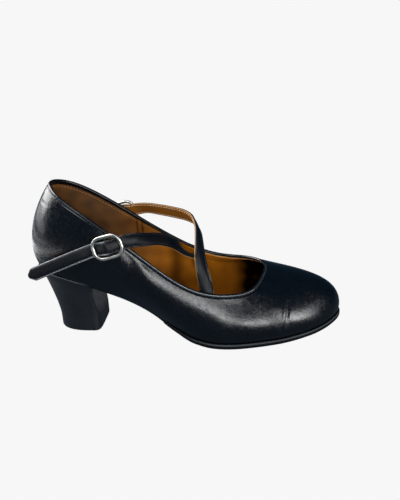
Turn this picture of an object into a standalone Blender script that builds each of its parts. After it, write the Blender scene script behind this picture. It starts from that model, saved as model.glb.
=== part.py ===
"""Flamenco shoe for the right foot: a black leather court upper on a covered heel.

Sizes are in millimetres and become metres when a mesh is made.
Distances along the shoe are measured forward from the back of the upper, +Y is the
inner (medial) side of the foot and +Z is up. An empty carries every piece and puts the
middle of the heel's bottom face at the origin of the scene, on the floor.
"""

from collections import namedtuple

import bmesh
import bpy
import numpy as np
from mathutils import Matrix

MM = 0.001
HEEL_CENTRE = 34.6
GAP = 0.3

UPPER_WALL = 2.0
INSOLE_THICKNESS = 2.0
INSOLE_INSET = 3.0
RIBS_AROUND = 84
RIB_STEPS = 11
PLATE_CUT_SPACING = 4.0

# Underside of the sole on the centre line: distance from the back, height over the floor.
Ground = namedtuple("Ground", "along height thickness")
GROUND_LINE = (
    Ground(-5.0, 51.4, 2.2),
    Ground(10.0, 50.9, 2.2),
    Ground(25.0, 48.4, 2.2),
    Ground(42.0, 43.0, 2.1),
    Ground(58.0, 36.9, 2.0),
    Ground(76.0, 29.4, 2.0),
    Ground(95.0, 19.6, 2.2),
    Ground(112.0, 8.6, 2.9),
    Ground(128.0, 1.4, 3.5),
    Ground(142.0, 0.0, 3.8),
    Ground(188.0, 0.0, 3.8),
    Ground(215.0, 1.5, 3.8),
    Ground(243.0, 5.6, 3.8),
)

# One rib of the upper for each row, from the toe along the outer side to the back and home
# along the inner side. foot: where the upper meets the sole; edge: how far the sole stands
# out past it; rise and swell: up and out from the foot to the first handle of the rib;
# top: the topline; shoulder and drop: out and down from the topline to the second handle.
Rib = namedtuple("Rib", "foot_x foot_y edge rise swell shoulder drop top_x top_y top_z")
RIBS = (
    Rib(240.2, 8.0, 1.4, 28.0, 4.8, 30.0, 10.5, 180.0, 1.5, 49.8),
    Rib(233.0, -6.0, 1.4, 18.5, 4.6, 21.0, 12.0, 178.0, -10.0, 48.0),
    Rib(206.0, -24.8, 1.4, 12.2, 5.4, 8.5, 12.0, 170.5, -24.2, 43.0),
    Rib(172.0, -36.4, 1.4, 14.0, 6.5, 3.5, 12.0, 156.0, -30.5, 40.7),
    Rib(146.0, -39.4, 1.4, 16.6, 3.0, 4.8, 10.0, 140.0, -31.6, 41.5),
    Rib(120.0, -32.0, 1.4, 16.8, 7.6, 6.5, 12.8, 120.0, -31.8, 48.5),
    Rib(90.0, -25.5, -1.2, 19.4, 9.8, 8.5, 17.8, 93.0, -30.2, 67.8),
    Rib(46.0, -25.0, -1.2, 20.0, 7.0, 6.5, 22.0, 52.0, -26.0, 98.3),
    Rib(14.5, -18.0, -1.2, 17.0, 7.0, 13.0, 22.0, 28.0, -14.5, 112.2),
    Rib(4.5, 0.0, -1.2, 15.0, 7.5, 17.0, 21.0, 20.0, 0.0, 117.4),
    Rib(14.5, 18.0, -1.2, 17.0, 7.0, 14.0, 22.0, 27.5, 13.5, 114.8),
    Rib(46.0, 24.3, -1.2, 20.0, 7.0, 7.0, 22.0, 52.0, 25.2, 99.6),
    Rib(86.0, 20.8, -1.2, 20.0, 10.0, 5.0, 18.0, 91.0, 29.3, 73.0),
    Rib(122.0, 25.0, 0.0, 18.0, 8.0, 6.0, 14.0, 121.0, 30.6, 55.5),
    Rib(158.0, 35.5, 1.4, 18.0, 5.0, 7.0, 11.0, 144.0, 30.3, 48.0),
    Rib(190.0, 37.8, 1.4, 20.0, 4.5, 10.0, 10.0, 159.0, 27.5, 47.3),
    Rib(220.0, 32.0, 1.4, 23.0, 4.5, 19.0, 11.0, 171.0, 20.5, 48.5),
    Rib(235.5, 21.5, 1.4, 27.0, 4.5, 27.0, 10.5, 177.5, 11.5, 49.6),
)

# Heel sections from the floor up: height, back end, breast, half width, hollow of the breast and how
# square the breast's corners are.
Section = namedtuple("Section", "height back breast half_width hollow squareness")
HEEL_SECTIONS = (
    Section(0.0, 17.2, 52.2, 17.8, 0.0, 5.5),
    Section(10.0, 17.0, 52.2, 17.8, 0.4, 5.5),
    Section(18.0, 15.8, 51.8, 18.2, 2.6, 6.0),
    Section(28.0, 13.5, 50.8, 19.4, 5.6, 7.5),
    Section(36.0, 11.2, 50.9, 20.6, 7.0, 8.0),
    Section(44.0, 8.6, 52.6, 22.0, 8.0, 8.0),
    Section(54.0, 4.5, 54.0, 23.5, 9.0, 8.0),
)
HEEL_RINGS = 18
HEEL_EDGE_ROUND = 1.2
HEEL_POINTS = 56
HEEL_BACK_ROUNDNESS = 2.3
BREAST_SHARE = 0.32

# Block that cuts the heel's seat to the sole: back, front, lid and half width.
SEAT_CUT = (-10.0, 70.0, 90.0, 40.0)
SEAT_STEP = 2.5

STRAP_WIDTH = 10.0
STRAP_THICKNESS = 2.0
STRAP_SECTIONS = 80
TIP_LENGTH = 3.6
TIP_SHARE = 0.3

# Middle line of each instep strap, with the direction that its outer face looks in: first from
# the sewn end to the buckle, then from the buckle to the free tip.
Hold = namedtuple("Hold", "x y z face_x face_y face_z")
STRAP_LATERAL = (
    Hold(128.5, 29.6, 36.0, 0.0, 1.0, 0.1),
    Hold(127.6, 28.6, 43.0, 0.0, 1.0, 0.25),
    Hold(126.2, 24.6, 47.6, 0.1, 0.5, 0.85),
    Hold(123.0, 16.5, 50.8, 0.2, 0.05, 1.0),
    Hold(117.6, 7.5, 57.6, 0.25, -0.3, 0.95),
    Hold(110.6, -2.0, 68.6, 0.15, -0.6, 0.8),
    Hold(101.8, -12.0, 76.0, 0.0, -0.78, 0.62),
    Hold(92.2, -23.0, 79.9, -0.1, -0.88, 0.46),
    Hold(84.6, -29.6, 81.9, -0.12, -0.95, 0.27),
)
TAIL_LATERAL = (
    Hold(46.0, -33.7, 71.2, -0.03, -1.0, 0.1),
    Hold(32.0, -35.1, 65.6, -0.05, -1.0, 0.06),
    Hold(9.7, -37.5, 56.7, -0.06, -1.0, 0.03),
)
STRAP_MEDIAL = (
    Hold(137.8, -30.6, 33.5, 0.0, -1.0, 0.3),
    Hold(137.0, -28.2, 40.5, 0.0, -1.0, 0.3),
    Hold(135.8, -26.5, 47.5, 0.4, -0.88, 0.2),
    Hold(133.6, -24.8, 57.1, 0.62, -0.76, 0.2),
    Hold(131.9, -20.0, 67.5, 0.78, -0.6, 0.25),
    Hold(131.0, -13.0, 75.2, 0.9, -0.4, 0.3),
    Hold(129.6, -5.0, 81.5, 0.95, -0.1, 0.35),
    Hold(125.6, 4.0, 85.7, 0.8, 0.45, 0.4),
    Hold(118.9, 11.0, 87.0, 0.4, 0.85, 0.34),
    Hold(109.5, 16.5, 87.5, 0.2, 0.93, 0.3),
    Hold(97.7, 22.4, 87.7, 0.1, 0.94, 0.31),
    Hold(84.4, 28.2, 87.3, 0.05, 0.93, 0.36),
)
TAIL_MEDIAL = (
    Hold(43.5, 32.5, 75.0, -0.03, 1.0, 0.1),
    Hold(29.5, 34.4, 68.9, -0.05, 1.0, 0.06),
    Hold(8.2, 37.1, 59.9, -0.06, 1.0, 0.03),
)

# Buckle frames: middle of the frame and the way it faces; both slope down towards the back.
BUCKLE_LATERAL = Hold(67.9, -34.8, 78.5, 0.0, -0.99, 0.12)
BUCKLE_MEDIAL = Hold(65.0, 33.6, 82.5, 0.0, 0.99, 0.15)
BUCKLE_SLOPE = (0.961, 0.0, 0.276)
BUCKLE_LENGTH = 23.4
BUCKLE_HEIGHT = 18.4
BUCKLE_CORNER = 5.4
BUCKLE_WIRE = 2.1
BUCKLE_BAR = 1.6
CORNER_POINTS = 6
BAR_SIDES = 10

# The strap's way through a buckle, under one end bar, over the middle bar and under the other:
# distance from the middle bar, lift of the strap's middle line off the plane of the frame.
Pass = namedtuple("Pass", "along lift")
BUCKLE_PASS = (
    Pass(10.7, -2.55),
    Pass(9.2, -2.4),
    Pass(4.6, 0.1),
    Pass(0.0, 2.35),
    Pass(-4.6, 0.1),
    Pass(-9.2, -2.4),
    Pass(-10.7, -2.55),
)


def monotone(knots, values, at):
    """Smooth curve through the knots that stays level where neighbouring values are equal."""
    knots = np.asarray(knots, float)
    values = np.asarray(values, float)
    run = np.diff(knots)
    slope = np.diff(values) / run
    tangent = np.zeros_like(values)
    tangent[0] = slope[0]
    tangent[-1] = slope[-1]
    for i in range(1, len(knots) - 1):
        if slope[i - 1] * slope[i] > 0.0:
            before = 2.0 * run[i] + run[i - 1]
            after = run[i] + 2.0 * run[i - 1]
            tangent[i] = (before + after) / (before / slope[i - 1] + after / slope[i])
    at = np.clip(at, knots[0], knots[-1])
    i = np.clip(np.searchsorted(knots, at) - 1, 0, len(run) - 1)
    t = (at - knots[i]) / run[i]
    rest = 1.0 - t
    value_part = values[i] * rest**2 * (1.0 + 2.0 * t) + values[i + 1] * t**2 * (3.0 - 2.0 * t)
    tangent_part = run[i] * (tangent[i] * t * rest**2 - tangent[i + 1] * t**2 * rest)
    return value_part + tangent_part


def closed_cubic(knots, rows, at):
    """Periodic cubic through the rows; knots has one more entry, the length of the loop."""
    count = len(rows)
    run = np.diff(knots)
    ahead = np.roll(rows, -1, axis=0)
    slope = (ahead - rows) / run[:, None]
    matrix = np.zeros((count, count))
    for i in range(count):
        matrix[i, i - 1] += run[i - 1]
        matrix[i, i] += 2.0 * (run[i - 1] + run[i])
        matrix[i, (i + 1) % count] += run[i]
    bend = np.linalg.solve(matrix, 6.0 * (slope - np.roll(slope, 1, axis=0)))
    i = np.clip(np.searchsorted(knots, at, side="right") - 1, 0, count - 1)
    step = (at - knots[i])[:, None]
    length = run[i][:, None]
    next_bend = np.roll(bend, -1, axis=0)[i]
    linear = slope[i] - length * (2.0 * bend[i] + next_bend) / 6.0
    return rows[i] + step * (linear + step * (bend[i] / 2.0 + step * (next_bend - bend[i]) / (6.0 * length)))


def open_curve(rows, count):
    """Points read evenly along a smooth curve through rows whose first three columns are places."""
    rows = np.array(rows)
    knots = np.concatenate(([0.0], np.cumsum(np.linalg.norm(np.diff(rows[:, :3], axis=0), axis=1))))
    tangent = np.gradient(rows, knots, axis=0)
    at = np.linspace(0.0, knots[-1], count)
    i = np.clip(np.searchsorted(knots, at, side="right") - 1, 0, len(rows) - 2)
    run = (knots[i + 1] - knots[i])[:, None]
    t = (at - knots[i])[:, None] / run
    rest = 1.0 - t
    places = rows[i] * rest**2 * (1.0 + 2.0 * t) + rows[i + 1] * t**2 * (3.0 - 2.0 * t)
    return places + run * (tangent[i] * t * rest**2 - tangent[i + 1] * t**2 * rest)


def unit(vectors):
    """Vectors scaled to length one along their last axis."""
    return vectors / np.linalg.norm(vectors, axis=-1, keepdims=True)


def outward(plan):
    """Unit normals that point out of a loop of plan points running from the toe to the outer side."""
    tangent = np.roll(plan, -1, axis=0) - np.roll(plan, 1, axis=0)
    return unit(np.column_stack((-tangent[:, 1], tangent[:, 0])))


def sole_under(along):
    """Height of the sole's underside."""
    return monotone([g.along for g in GROUND_LINE], [g.height for g in GROUND_LINE], along)


def sole_over(along):
    """Height of the sole's upper side."""
    thickness = monotone([g.along for g in GROUND_LINE], [g.thickness for g in GROUND_LINE], along)
    return sole_under(along) + thickness


def rib_values(count):
    """The rib table read at evenly spaced places round the foot."""
    table = np.array(RIBS)
    foot = table[:, :2]
    steps = np.linalg.norm(np.roll(foot, -1, axis=0) - foot, axis=1)
    knots = np.concatenate(([0.0], np.cumsum(steps)))
    at = np.linspace(0.0, knots[-1], count, endpoint=False)
    return Rib(*closed_cubic(knots, table, at).T)


def foot_outline(count, grow):
    """Plan outline where the upper meets the sole, moved out by `grow` (a number or one per point)."""
    rib = rib_values(count)
    plan = np.column_stack((rib.foot_x, rib.foot_y))
    return plan + outward(plan) * np.reshape(grow, (-1, 1))


def upper_grid(around, steps):
    """Points of the upper's outer surface: an array of ribs, each from the sole to the topline."""
    rib = rib_values(around)
    foot_plan = np.column_stack((rib.foot_x, rib.foot_y))
    top_plan = np.column_stack((rib.top_x, rib.top_y))
    foot = np.column_stack((foot_plan, sole_over(rib.foot_x) + GAP))
    top = np.column_stack((top_plan, rib.top_z))
    swell = np.column_stack((outward(foot_plan) * rib.swell[:, None], rib.rise))
    shoulder = np.column_stack((outward(top_plan) * rib.shoulder[:, None], -rib.drop))
    t = np.linspace(0.0, 1.0, steps + 1)[None, :, None]
    rest = 1.0 - t
    points = foot[:, None] * rest**3 + 3.0 * (foot + swell)[:, None] * rest**2 * t
    return points + 3.0 * (top + shoulder)[:, None] * rest * t**2 + top[:, None] * t**3


def material(name, colour, roughness, metallic=0.0):
    made = bpy.data.materials.new(name)
    made.use_nodes = True
    shader = made.node_tree.nodes["Principled BSDF"]
    shader.inputs["Base Color"].default_value = (*colour, 1.0)
    shader.inputs["Roughness"].default_value = roughness
    shader.inputs["Metallic"].default_value = metallic
    return made


def add_object(name, mesh, finish, collection, carrier):
    """A named object for a mesh, carried by the shoe's empty."""
    mesh.name = name
    mesh.materials.append(finish)
    mesh.shade_smooth()
    made = bpy.data.objects.new(name, mesh)
    made.parent = carrier
    collection.objects.link(made)
    return made


def add_cutter(name, mesh, finish, collection, carrier):
    """A helper for a Boolean that isn't itself a piece of the shoe."""
    made = add_object(name, mesh, finish, collection, carrier)
    made.hide_render = True
    made.display_type = "WIRE"
    return made


def finished_mesh(build):
    """Turns a bmesh into a mesh whose faces point outwards."""
    bmesh.ops.recalc_face_normals(build, faces=build.faces)
    mesh = bpy.data.meshes.new("build")
    build.to_mesh(mesh)
    build.free()
    return mesh


def rings_mesh(rings, closed_ends):
    """Bmesh skin over a list of equal point rings, with flat ends if closed_ends."""
    build = bmesh.new()
    rows = [[build.verts.new(np.array(point) * MM) for point in ring] for ring in rings]
    for low, high in zip(rows, rows[1:]):
        for i in range(len(low)):
            j = (i + 1) % len(low)
            build.faces.new((low[i], low[j], high[j], high[i]))
    if closed_ends:
        build.faces.new(rows[0])
        build.faces.new(rows[-1])
    return build


def bent_plate(outline, under, over):
    """Bmesh of a plate with the plan outline, bent to lie between two height functions."""
    low = [(x, y, 0.0) for x, y in outline]
    high = [(x, y, 1.0) for x, y in outline]
    build = rings_mesh([low, high], True)
    first = outline[:, 0].min() + PLATE_CUT_SPACING / 2.0
    for along in np.arange(first, outline[:, 0].max(), PLATE_CUT_SPACING):
        everything = [*build.verts, *build.edges, *build.faces]
        bmesh.ops.bisect_plane(build, geom=everything, plane_co=(along * MM, 0, 0), plane_no=(1, 0, 0))
    for vert in build.verts:
        along = vert.co.x / MM
        height = over(along) if vert.co.z > MM / 2.0 else under(along)
        vert.co.z = float(height) * MM
    return finished_mesh(build)


def make_outsole(collection, carrier, finish):
    edge = rib_values(RIBS_AROUND).edge
    plate = bent_plate(foot_outline(RIBS_AROUND, edge), sole_under, sole_over)
    return add_object("outsole", plate, finish, collection, carrier)


def make_insole(collection, carrier, finish):
    outline = foot_outline(RIBS_AROUND, -INSOLE_INSET)

    def under(along):
        return sole_over(along) + GAP

    def over(along):
        return under(along) + INSOLE_THICKNESS

    return add_object("insole", bent_plate(outline, under, over), finish, collection, carrier)


def make_upper(collection, carrier, finish):
    grid = upper_grid(RIBS_AROUND, RIB_STEPS)
    rings = [grid[:, step] for step in range(RIB_STEPS + 1)]
    made = add_object("upper", finished_mesh(rings_mesh(rings, False)), finish, collection, carrier)
    wall = made.modifiers.new("Wall", "SOLIDIFY")
    wall.thickness = UPPER_WALL * MM
    wall.offset = -1.0
    wall.use_even_offset = True
    return made


def heel_ring(height):
    """D-shaped loop of the heel at one height: a rounded back and a hollowed breast."""
    heights = [s.height for s in HEEL_SECTIONS]
    back, breast, half_width, hollow, squareness = (
        float(monotone(heights, [getattr(s, column) for s in HEEL_SECTIONS], height))
        for column in ("back", "breast", "half_width", "hollow", "squareness")
    )
    middle = breast - BREAST_SHARE * (breast - back)
    ring = []
    for angle in np.linspace(0.0, 2.0 * np.pi, HEEL_POINTS, endpoint=False):
        ahead = np.cos(angle) > 0.0
        power = 2.0 / (squareness if ahead else HEEL_BACK_ROUNDNESS)
        lengthwise = np.sign(np.cos(angle)) * abs(np.cos(angle)) ** power
        across = np.sign(np.sin(angle)) * abs(np.sin(angle)) ** power
        reach = breast - middle if ahead else middle - back
        scoop = hollow * max(lengthwise, 0.0) * (1.0 - across**2)
        ring.append((middle + reach * lengthwise - scoop, half_width * across, height))
    return ring


def make_heel(collection, cutters, carrier, finish):
    top = HEEL_SECTIONS[-1].height
    rings = [heel_ring(height) for height in np.linspace(HEEL_EDGE_ROUND, top, HEEL_RINGS)]
    lowest = np.array(heel_ring(0.0))
    lowest[:, :2] -= outward(lowest[::-1, :2])[::-1] * HEEL_EDGE_ROUND
    rings.insert(0, lowest)
    heel = add_object("heel", finished_mesh(rings_mesh(rings, True)), finish, collection, carrier)
    back, front, lid, half_width = SEAT_CUT
    profile = [(x, float(sole_under(x)) - GAP) for x in np.arange(back, front + SEAT_STEP, SEAT_STEP)]
    profile += [(front, lid), (back, lid)]
    sides = [[(x, y, z) for x, z in profile] for y in (-half_width, half_width)]
    cutter = add_cutter("heel_seat_cutter", finished_mesh(rings_mesh(sides, True)), finish, cutters, carrier)
    seat = heel.modifiers.new("Seat", "BOOLEAN")
    seat.operation = "DIFFERENCE"
    seat.object = cutter
    return heel


def buckle_axes(hold):
    """Middle of a buckle, and its unit directions along the strap, across it and out of the frame."""
    along = unit(np.array(BUCKLE_SLOPE))
    across = unit(np.cross(np.array(hold[3:]), along))
    return np.array(hold[:3]), along, across, np.cross(along, across)


def strap_line(holds, buckle, tail, count):
    """Places and outer-face directions along one strap, through its buckle."""
    centre, along, _, face = buckle_axes(buckle)
    way = [(*(centre + p.along * along + p.lift * face), *face) for p in BUCKLE_PASS]
    return open_curve([*holds, *way, *tail], count)


def make_strap(name, line, collection, carrier, finish):
    """Flat band swept along its line, of one thickness and one width but for its blunt point."""
    middle = line[:, :3]
    along = unit(np.gradient(middle, axis=0))
    width = unit(np.cross(along, line[:, 3:]))
    face = np.cross(width, along)
    to_tip = np.linalg.norm(middle - middle[-1], axis=1)
    share = TIP_SHARE + (1.0 - TIP_SHARE) * np.minimum(to_tip / TIP_LENGTH, 1.0)
    half_width = width * share[:, None] * STRAP_WIDTH / 2.0
    half_thick = face * STRAP_THICKNESS / 2.0
    corners = ((-1, -1), (1, -1), (1, 1), (-1, 1))
    rings = np.stack([middle + side * half_width + lift * half_thick for side, lift in corners], axis=1)
    return add_object(name, finished_mesh(rings_mesh(rings, True)), finish, collection, carrier)


def buckle_frame_mesh():
    """Wire bent to a rounded rectangle, flat in XY about its middle."""
    reach = (BUCKLE_LENGTH - BUCKLE_WIRE) / 2.0 - BUCKLE_CORNER
    rise = (BUCKLE_HEIGHT - BUCKLE_WIRE) / 2.0 - BUCKLE_CORNER
    points = []
    for corner, (right, top) in enumerate(((1, 1), (-1, 1), (-1, -1), (1, -1))):
        for angle in np.linspace(corner, corner + 1.0, CORNER_POINTS) * np.pi / 2.0:
            bend_x = right * reach + BUCKLE_CORNER * np.cos(angle)
            bend_y = top * rise + BUCKLE_CORNER * np.sin(angle)
            points.append((bend_x * MM, bend_y * MM, 0.0, 1.0))
    wire = bpy.data.curves.new("buckle_wire", "CURVE")
    wire.dimensions = "3D"
    wire.bevel_depth = BUCKLE_WIRE / 2.0 * MM
    wire.bevel_resolution = 2
    spline = wire.splines.new("POLY")
    spline.points.add(len(points) - 1)
    spline.use_cyclic_u = True
    for point, place in zip(spline.points, points):
        point.co = place
    bent = bpy.data.objects.new("buckle_wire", wire)
    mesh = bpy.data.meshes.new_from_object(bent)
    bpy.data.objects.remove(bent)
    return mesh


def buckle_bar_mesh():
    """Round bar across the middle of the frame, along Y."""
    build = bmesh.new()
    upright = Matrix.Rotation(np.pi / 2.0, 4, "X")
    radius = BUCKLE_BAR / 2.0 * MM
    length = (BUCKLE_HEIGHT - BUCKLE_WIRE) * MM
    bmesh.ops.create_cone(
        build, cap_ends=True, segments=BAR_SIDES, radius1=radius, radius2=radius, depth=length, matrix=upright
    )
    return finished_mesh(build)


def make_buckle(name, hold, collection, cutters, carrier, finish):
    """Rounded wire frame with a bar across its middle."""
    centre, along, across, face = buckle_axes(hold)
    seat = Matrix(np.column_stack((along, across, face)).tolist()).to_4x4()
    seat.translation = centre * MM
    frame = add_object(name, buckle_frame_mesh(), finish, collection, carrier)
    bar = add_cutter(name + "_bar", buckle_bar_mesh(), finish, cutters, carrier)
    for piece in (frame, bar):
        piece.matrix_basis = seat
    join = frame.modifiers.new("Bar", "BOOLEAN")
    join.operation = "UNION"
    join.object = bar
    return frame


def main():
    for old in list(bpy.data.objects):
        bpy.data.objects.remove(old)
    shoe = bpy.data.collections.new("flamenco_shoe")
    cutters = bpy.data.collections.new("cutters")
    bpy.context.scene.collection.children.link(shoe)
    bpy.context.scene.collection.children.link(cutters)
    carrier = bpy.data.objects.new("shoe_carrier", None)
    carrier.location.x = -HEEL_CENTRE * MM
    shoe.objects.link(carrier)
    black_leather = material("black_calf", (0.012, 0.013, 0.016), 0.35)
    sole_leather = material("black_sole_leather", (0.015, 0.015, 0.017), 0.5)
    tan_leather = material("tan_lining_leather", (0.27, 0.11, 0.022), 0.6)
    nickel = material("polished_nickel", (0.62, 0.60, 0.56), 0.2, 1.0)
    make_outsole(shoe, carrier, sole_leather)
    make_heel(shoe, cutters, carrier, black_leather)
    make_upper(shoe, carrier, black_leather)
    make_insole(shoe, carrier, tan_leather)
    lateral_line = strap_line(STRAP_LATERAL, BUCKLE_LATERAL, TAIL_LATERAL, STRAP_SECTIONS)
    medial_line = strap_line(STRAP_MEDIAL, BUCKLE_MEDIAL, TAIL_MEDIAL, STRAP_SECTIONS)
    make_strap("strap_lateral", lateral_line, shoe, carrier, black_leather)
    make_strap("strap_medial", medial_line, shoe, carrier, black_leather)
    make_buckle("buckle_lateral", BUCKLE_LATERAL, shoe, cutters, carrier, nickel)
    make_buckle("buckle_medial", BUCKLE_MEDIAL, shoe, cutters, carrier, nickel)


main()
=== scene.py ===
"""Looks of a black flamenco shoe for the right foot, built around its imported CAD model.

The tables are in millimetres, measured forward from the back of the upper, with +Y towards
the inner (medial) side of the foot and +Z up, as in the part's source. to_row() turns them
into metres in the row frame, whose origin is the middle of the heel's bottom face.
"""

import math
from collections import namedtuple

import bmesh
import bpy
import numpy as np
from bpy.props import FloatProperty, FloatVectorProperty, PointerProperty
from mathutils import Matrix, Vector, noise


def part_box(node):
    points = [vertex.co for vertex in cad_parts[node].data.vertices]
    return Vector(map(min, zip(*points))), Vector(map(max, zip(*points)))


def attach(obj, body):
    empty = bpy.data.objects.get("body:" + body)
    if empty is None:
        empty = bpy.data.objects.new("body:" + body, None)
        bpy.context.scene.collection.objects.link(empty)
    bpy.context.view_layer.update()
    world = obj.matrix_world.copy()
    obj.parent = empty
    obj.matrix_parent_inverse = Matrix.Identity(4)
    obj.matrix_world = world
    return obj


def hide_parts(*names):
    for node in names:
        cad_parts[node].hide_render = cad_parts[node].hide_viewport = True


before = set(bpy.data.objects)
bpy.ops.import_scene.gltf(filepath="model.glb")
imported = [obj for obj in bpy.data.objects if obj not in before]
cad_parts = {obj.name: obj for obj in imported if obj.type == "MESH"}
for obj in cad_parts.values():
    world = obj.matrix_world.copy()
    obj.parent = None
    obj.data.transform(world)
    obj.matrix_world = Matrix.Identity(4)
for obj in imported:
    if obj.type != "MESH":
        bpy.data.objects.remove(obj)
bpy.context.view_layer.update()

bl_info = {
    "name": "Flamenco shoe looks",
    "version": (1, 0, 0),
    "blender": (4, 5, 0),
    "location": "View3D > Sidebar > Shoe",
    "description": "Builds the leather, lining, sole, heel, straps and buckles of a flamenco shoe",
    "category": "Object",
}

MM = 0.001
HEEL_CENTRE = 34.6
GAP = 0.3

# Sole on the centre line: distance along the shoe, height of its underside, thickness.
GROUND_LINE = (
    (-5.0, 51.4, 2.2), (10.0, 50.9, 2.2), (25.0, 48.4, 2.2), (42.0, 43.0, 2.1), (58.0, 36.9, 2.0),
    (76.0, 29.4, 2.0), (95.0, 19.6, 2.2), (112.0, 8.6, 2.9), (128.0, 1.4, 3.5), (142.0, 0.0, 3.8),
    (188.0, 0.0, 3.8), (215.0, 1.5, 3.8), (243.0, 5.6, 3.8),
)

# Ribs of the upper from the toe along the outer side to the back and home along the inner side,
# with the columns of the part's source.
Rib = namedtuple("Rib", "foot_x foot_y edge rise swell shoulder drop top_x top_y top_z")
RIBS = (
    (240.2, 8.0, 1.4, 28.0, 4.8, 30.0, 10.5, 180.0, 1.5, 49.8),
    (233.0, -6.0, 1.4, 18.5, 4.6, 21.0, 12.0, 178.0, -10.0, 48.0),
    (206.0, -24.8, 1.4, 12.2, 5.4, 8.5, 12.0, 170.5, -24.2, 43.0),
    (172.0, -36.4, 1.4, 14.0, 6.5, 3.5, 12.0, 156.0, -30.5, 40.7),
    (146.0, -39.4, 1.4, 16.6, 3.0, 4.8, 10.0, 140.0, -31.6, 41.5),
    (120.0, -32.0, 1.4, 16.8, 7.6, 6.5, 12.8, 120.0, -31.8, 48.5),
    (90.0, -25.5, -1.2, 19.4, 9.8, 8.5, 17.8, 93.0, -30.2, 67.8),
    (46.0, -25.0, -1.2, 20.0, 7.0, 6.5, 22.0, 52.0, -26.0, 98.3),
    (14.5, -18.0, -1.2, 17.0, 7.0, 13.0, 22.0, 28.0, -14.5, 112.2),
    (4.5, 0.0, -1.2, 15.0, 7.5, 17.0, 21.0, 20.0, 0.0, 117.4),
    (14.5, 18.0, -1.2, 17.0, 7.0, 14.0, 22.0, 27.5, 13.5, 114.8),
    (46.0, 24.3, -1.2, 20.0, 7.0, 7.0, 22.0, 52.0, 25.2, 99.6),
    (86.0, 20.8, -1.2, 20.0, 10.0, 5.0, 18.0, 91.0, 29.3, 73.0),
    (122.0, 25.0, 0.0, 18.0, 8.0, 6.0, 14.0, 121.0, 30.6, 55.5),
    (158.0, 35.5, 1.4, 18.0, 5.0, 7.0, 11.0, 144.0, 30.3, 48.0),
    (190.0, 37.8, 1.4, 20.0, 4.5, 10.0, 10.0, 159.0, 27.5, 47.3),
    (220.0, 32.0, 1.4, 23.0, 4.5, 19.0, 11.0, 171.0, 20.5, 48.5),
    (235.5, 21.5, 1.4, 27.0, 4.5, 27.0, 10.5, 177.5, 11.5, 49.6),
)

# Heel sections from the floor up: height, back, breast, half width, hollow of the breast, squareness.
HEEL_SECTIONS = (
    (0.0, 17.2, 52.2, 17.8, 0.0, 5.5),
    (10.0, 17.0, 52.2, 17.8, 0.4, 5.5),
    (18.0, 15.8, 51.8, 18.2, 2.6, 6.0),
    (28.0, 13.5, 50.8, 19.4, 5.6, 7.5),
    (36.0, 11.2, 50.9, 20.6, 7.0, 8.0),
    (44.0, 8.6, 52.6, 22.0, 8.0, 8.0),
    (54.0, 4.5, 54.0, 23.5, 9.0, 8.0),
)
HEEL_BACK_ROUNDNESS = 2.3
BREAST_SHARE = 0.32

# The breast's hollow ends in an arch under the sole: heights where it starts to close, share it closes by.
ARCH = (36.0, 40.0)
ARCH_LIP = 0.4

# Middle line of each strap and the way its outer face looks, from the sewn end to the buckle,
# then from the buckle to the tip.
STRAP_LATERAL = (
    (128.5, 29.6, 36.0, 0.0, 1.0, 0.1),
    (127.6, 28.6, 43.0, 0.0, 1.0, 0.25),
    (126.2, 24.6, 47.6, 0.1, 0.5, 0.85),
    (123.0, 16.5, 50.8, 0.2, 0.05, 1.0),
    (117.6, 7.5, 57.6, 0.25, -0.3, 0.95),
    (110.6, -2.0, 68.6, 0.15, -0.6, 0.8),
    (101.8, -12.0, 76.0, 0.0, -0.78, 0.62),
    (92.2, -23.0, 79.9, -0.1, -0.88, 0.46),
    (84.6, -29.6, 81.9, -0.12, -0.95, 0.27),
)
TAIL_LATERAL = (
    (46.0, -33.7, 71.2, -0.03, -1.0, 0.1),
    (32.0, -35.1, 65.6, -0.05, -1.0, 0.06),
    (9.7, -37.5, 56.7, -0.06, -1.0, 0.03),
)
STRAP_MEDIAL = (
    (137.8, -30.6, 33.5, 0.0, -1.0, 0.3),
    (137.0, -28.2, 40.5, 0.0, -1.0, 0.3),
    (135.8, -26.5, 47.5, 0.4, -0.88, 0.2),
    (133.6, -24.8, 57.1, 0.62, -0.76, 0.2),
    (131.9, -20.0, 67.5, 0.78, -0.6, 0.25),
    (131.0, -13.0, 75.2, 0.9, -0.4, 0.3),
    (129.6, -5.0, 81.5, 0.95, -0.1, 0.35),
    (125.6, 4.0, 85.7, 0.8, 0.45, 0.4),
    (118.9, 11.0, 87.0, 0.4, 0.85, 0.34),
    (109.5, 16.5, 87.5, 0.2, 0.93, 0.3),
    (97.7, 22.4, 87.7, 0.1, 0.94, 0.31),
    (84.4, 28.2, 87.3, 0.05, 0.93, 0.36),
)
TAIL_MEDIAL = (
    (43.5, 32.5, 75.0, -0.03, 1.0, 0.1),
    (29.5, 34.4, 68.9, -0.05, 1.0, 0.06),
    (8.2, 37.1, 59.9, -0.06, 1.0, 0.03),
)
STRAP_SECTIONS = 260
TIP_LENGTH = 3.6
TIP_SHARE = 0.3

BUCKLE_LATERAL = (67.9, -34.8, 78.5, 0.0, -0.99, 0.12)
BUCKLE_MEDIAL = (65.0, 33.6, 82.5, 0.0, 0.99, 0.15)
BUCKLE_SLOPE = (0.961, 0.0, 0.276)
BUCKLE_LENGTH = 22.8
BUCKLE_HEIGHT = 17.6
BUCKLE_CORNER = 6.4
BUCKLE_WIRE = 2.1
BUCKLE_BAR = 1.6
CORNER_POINTS = 14
BAR_SIDES = 20

# The strap's way through a buckle: distance along the frame from its middle, height over its plane.
BUCKLE_PASS = (
    (10.7, -2.55), (9.2, -2.4), (4.6, 0.1), (0.0, 2.35), (-4.6, 0.1), (-9.2, -2.4), (-10.7, -2.55),
)

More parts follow.
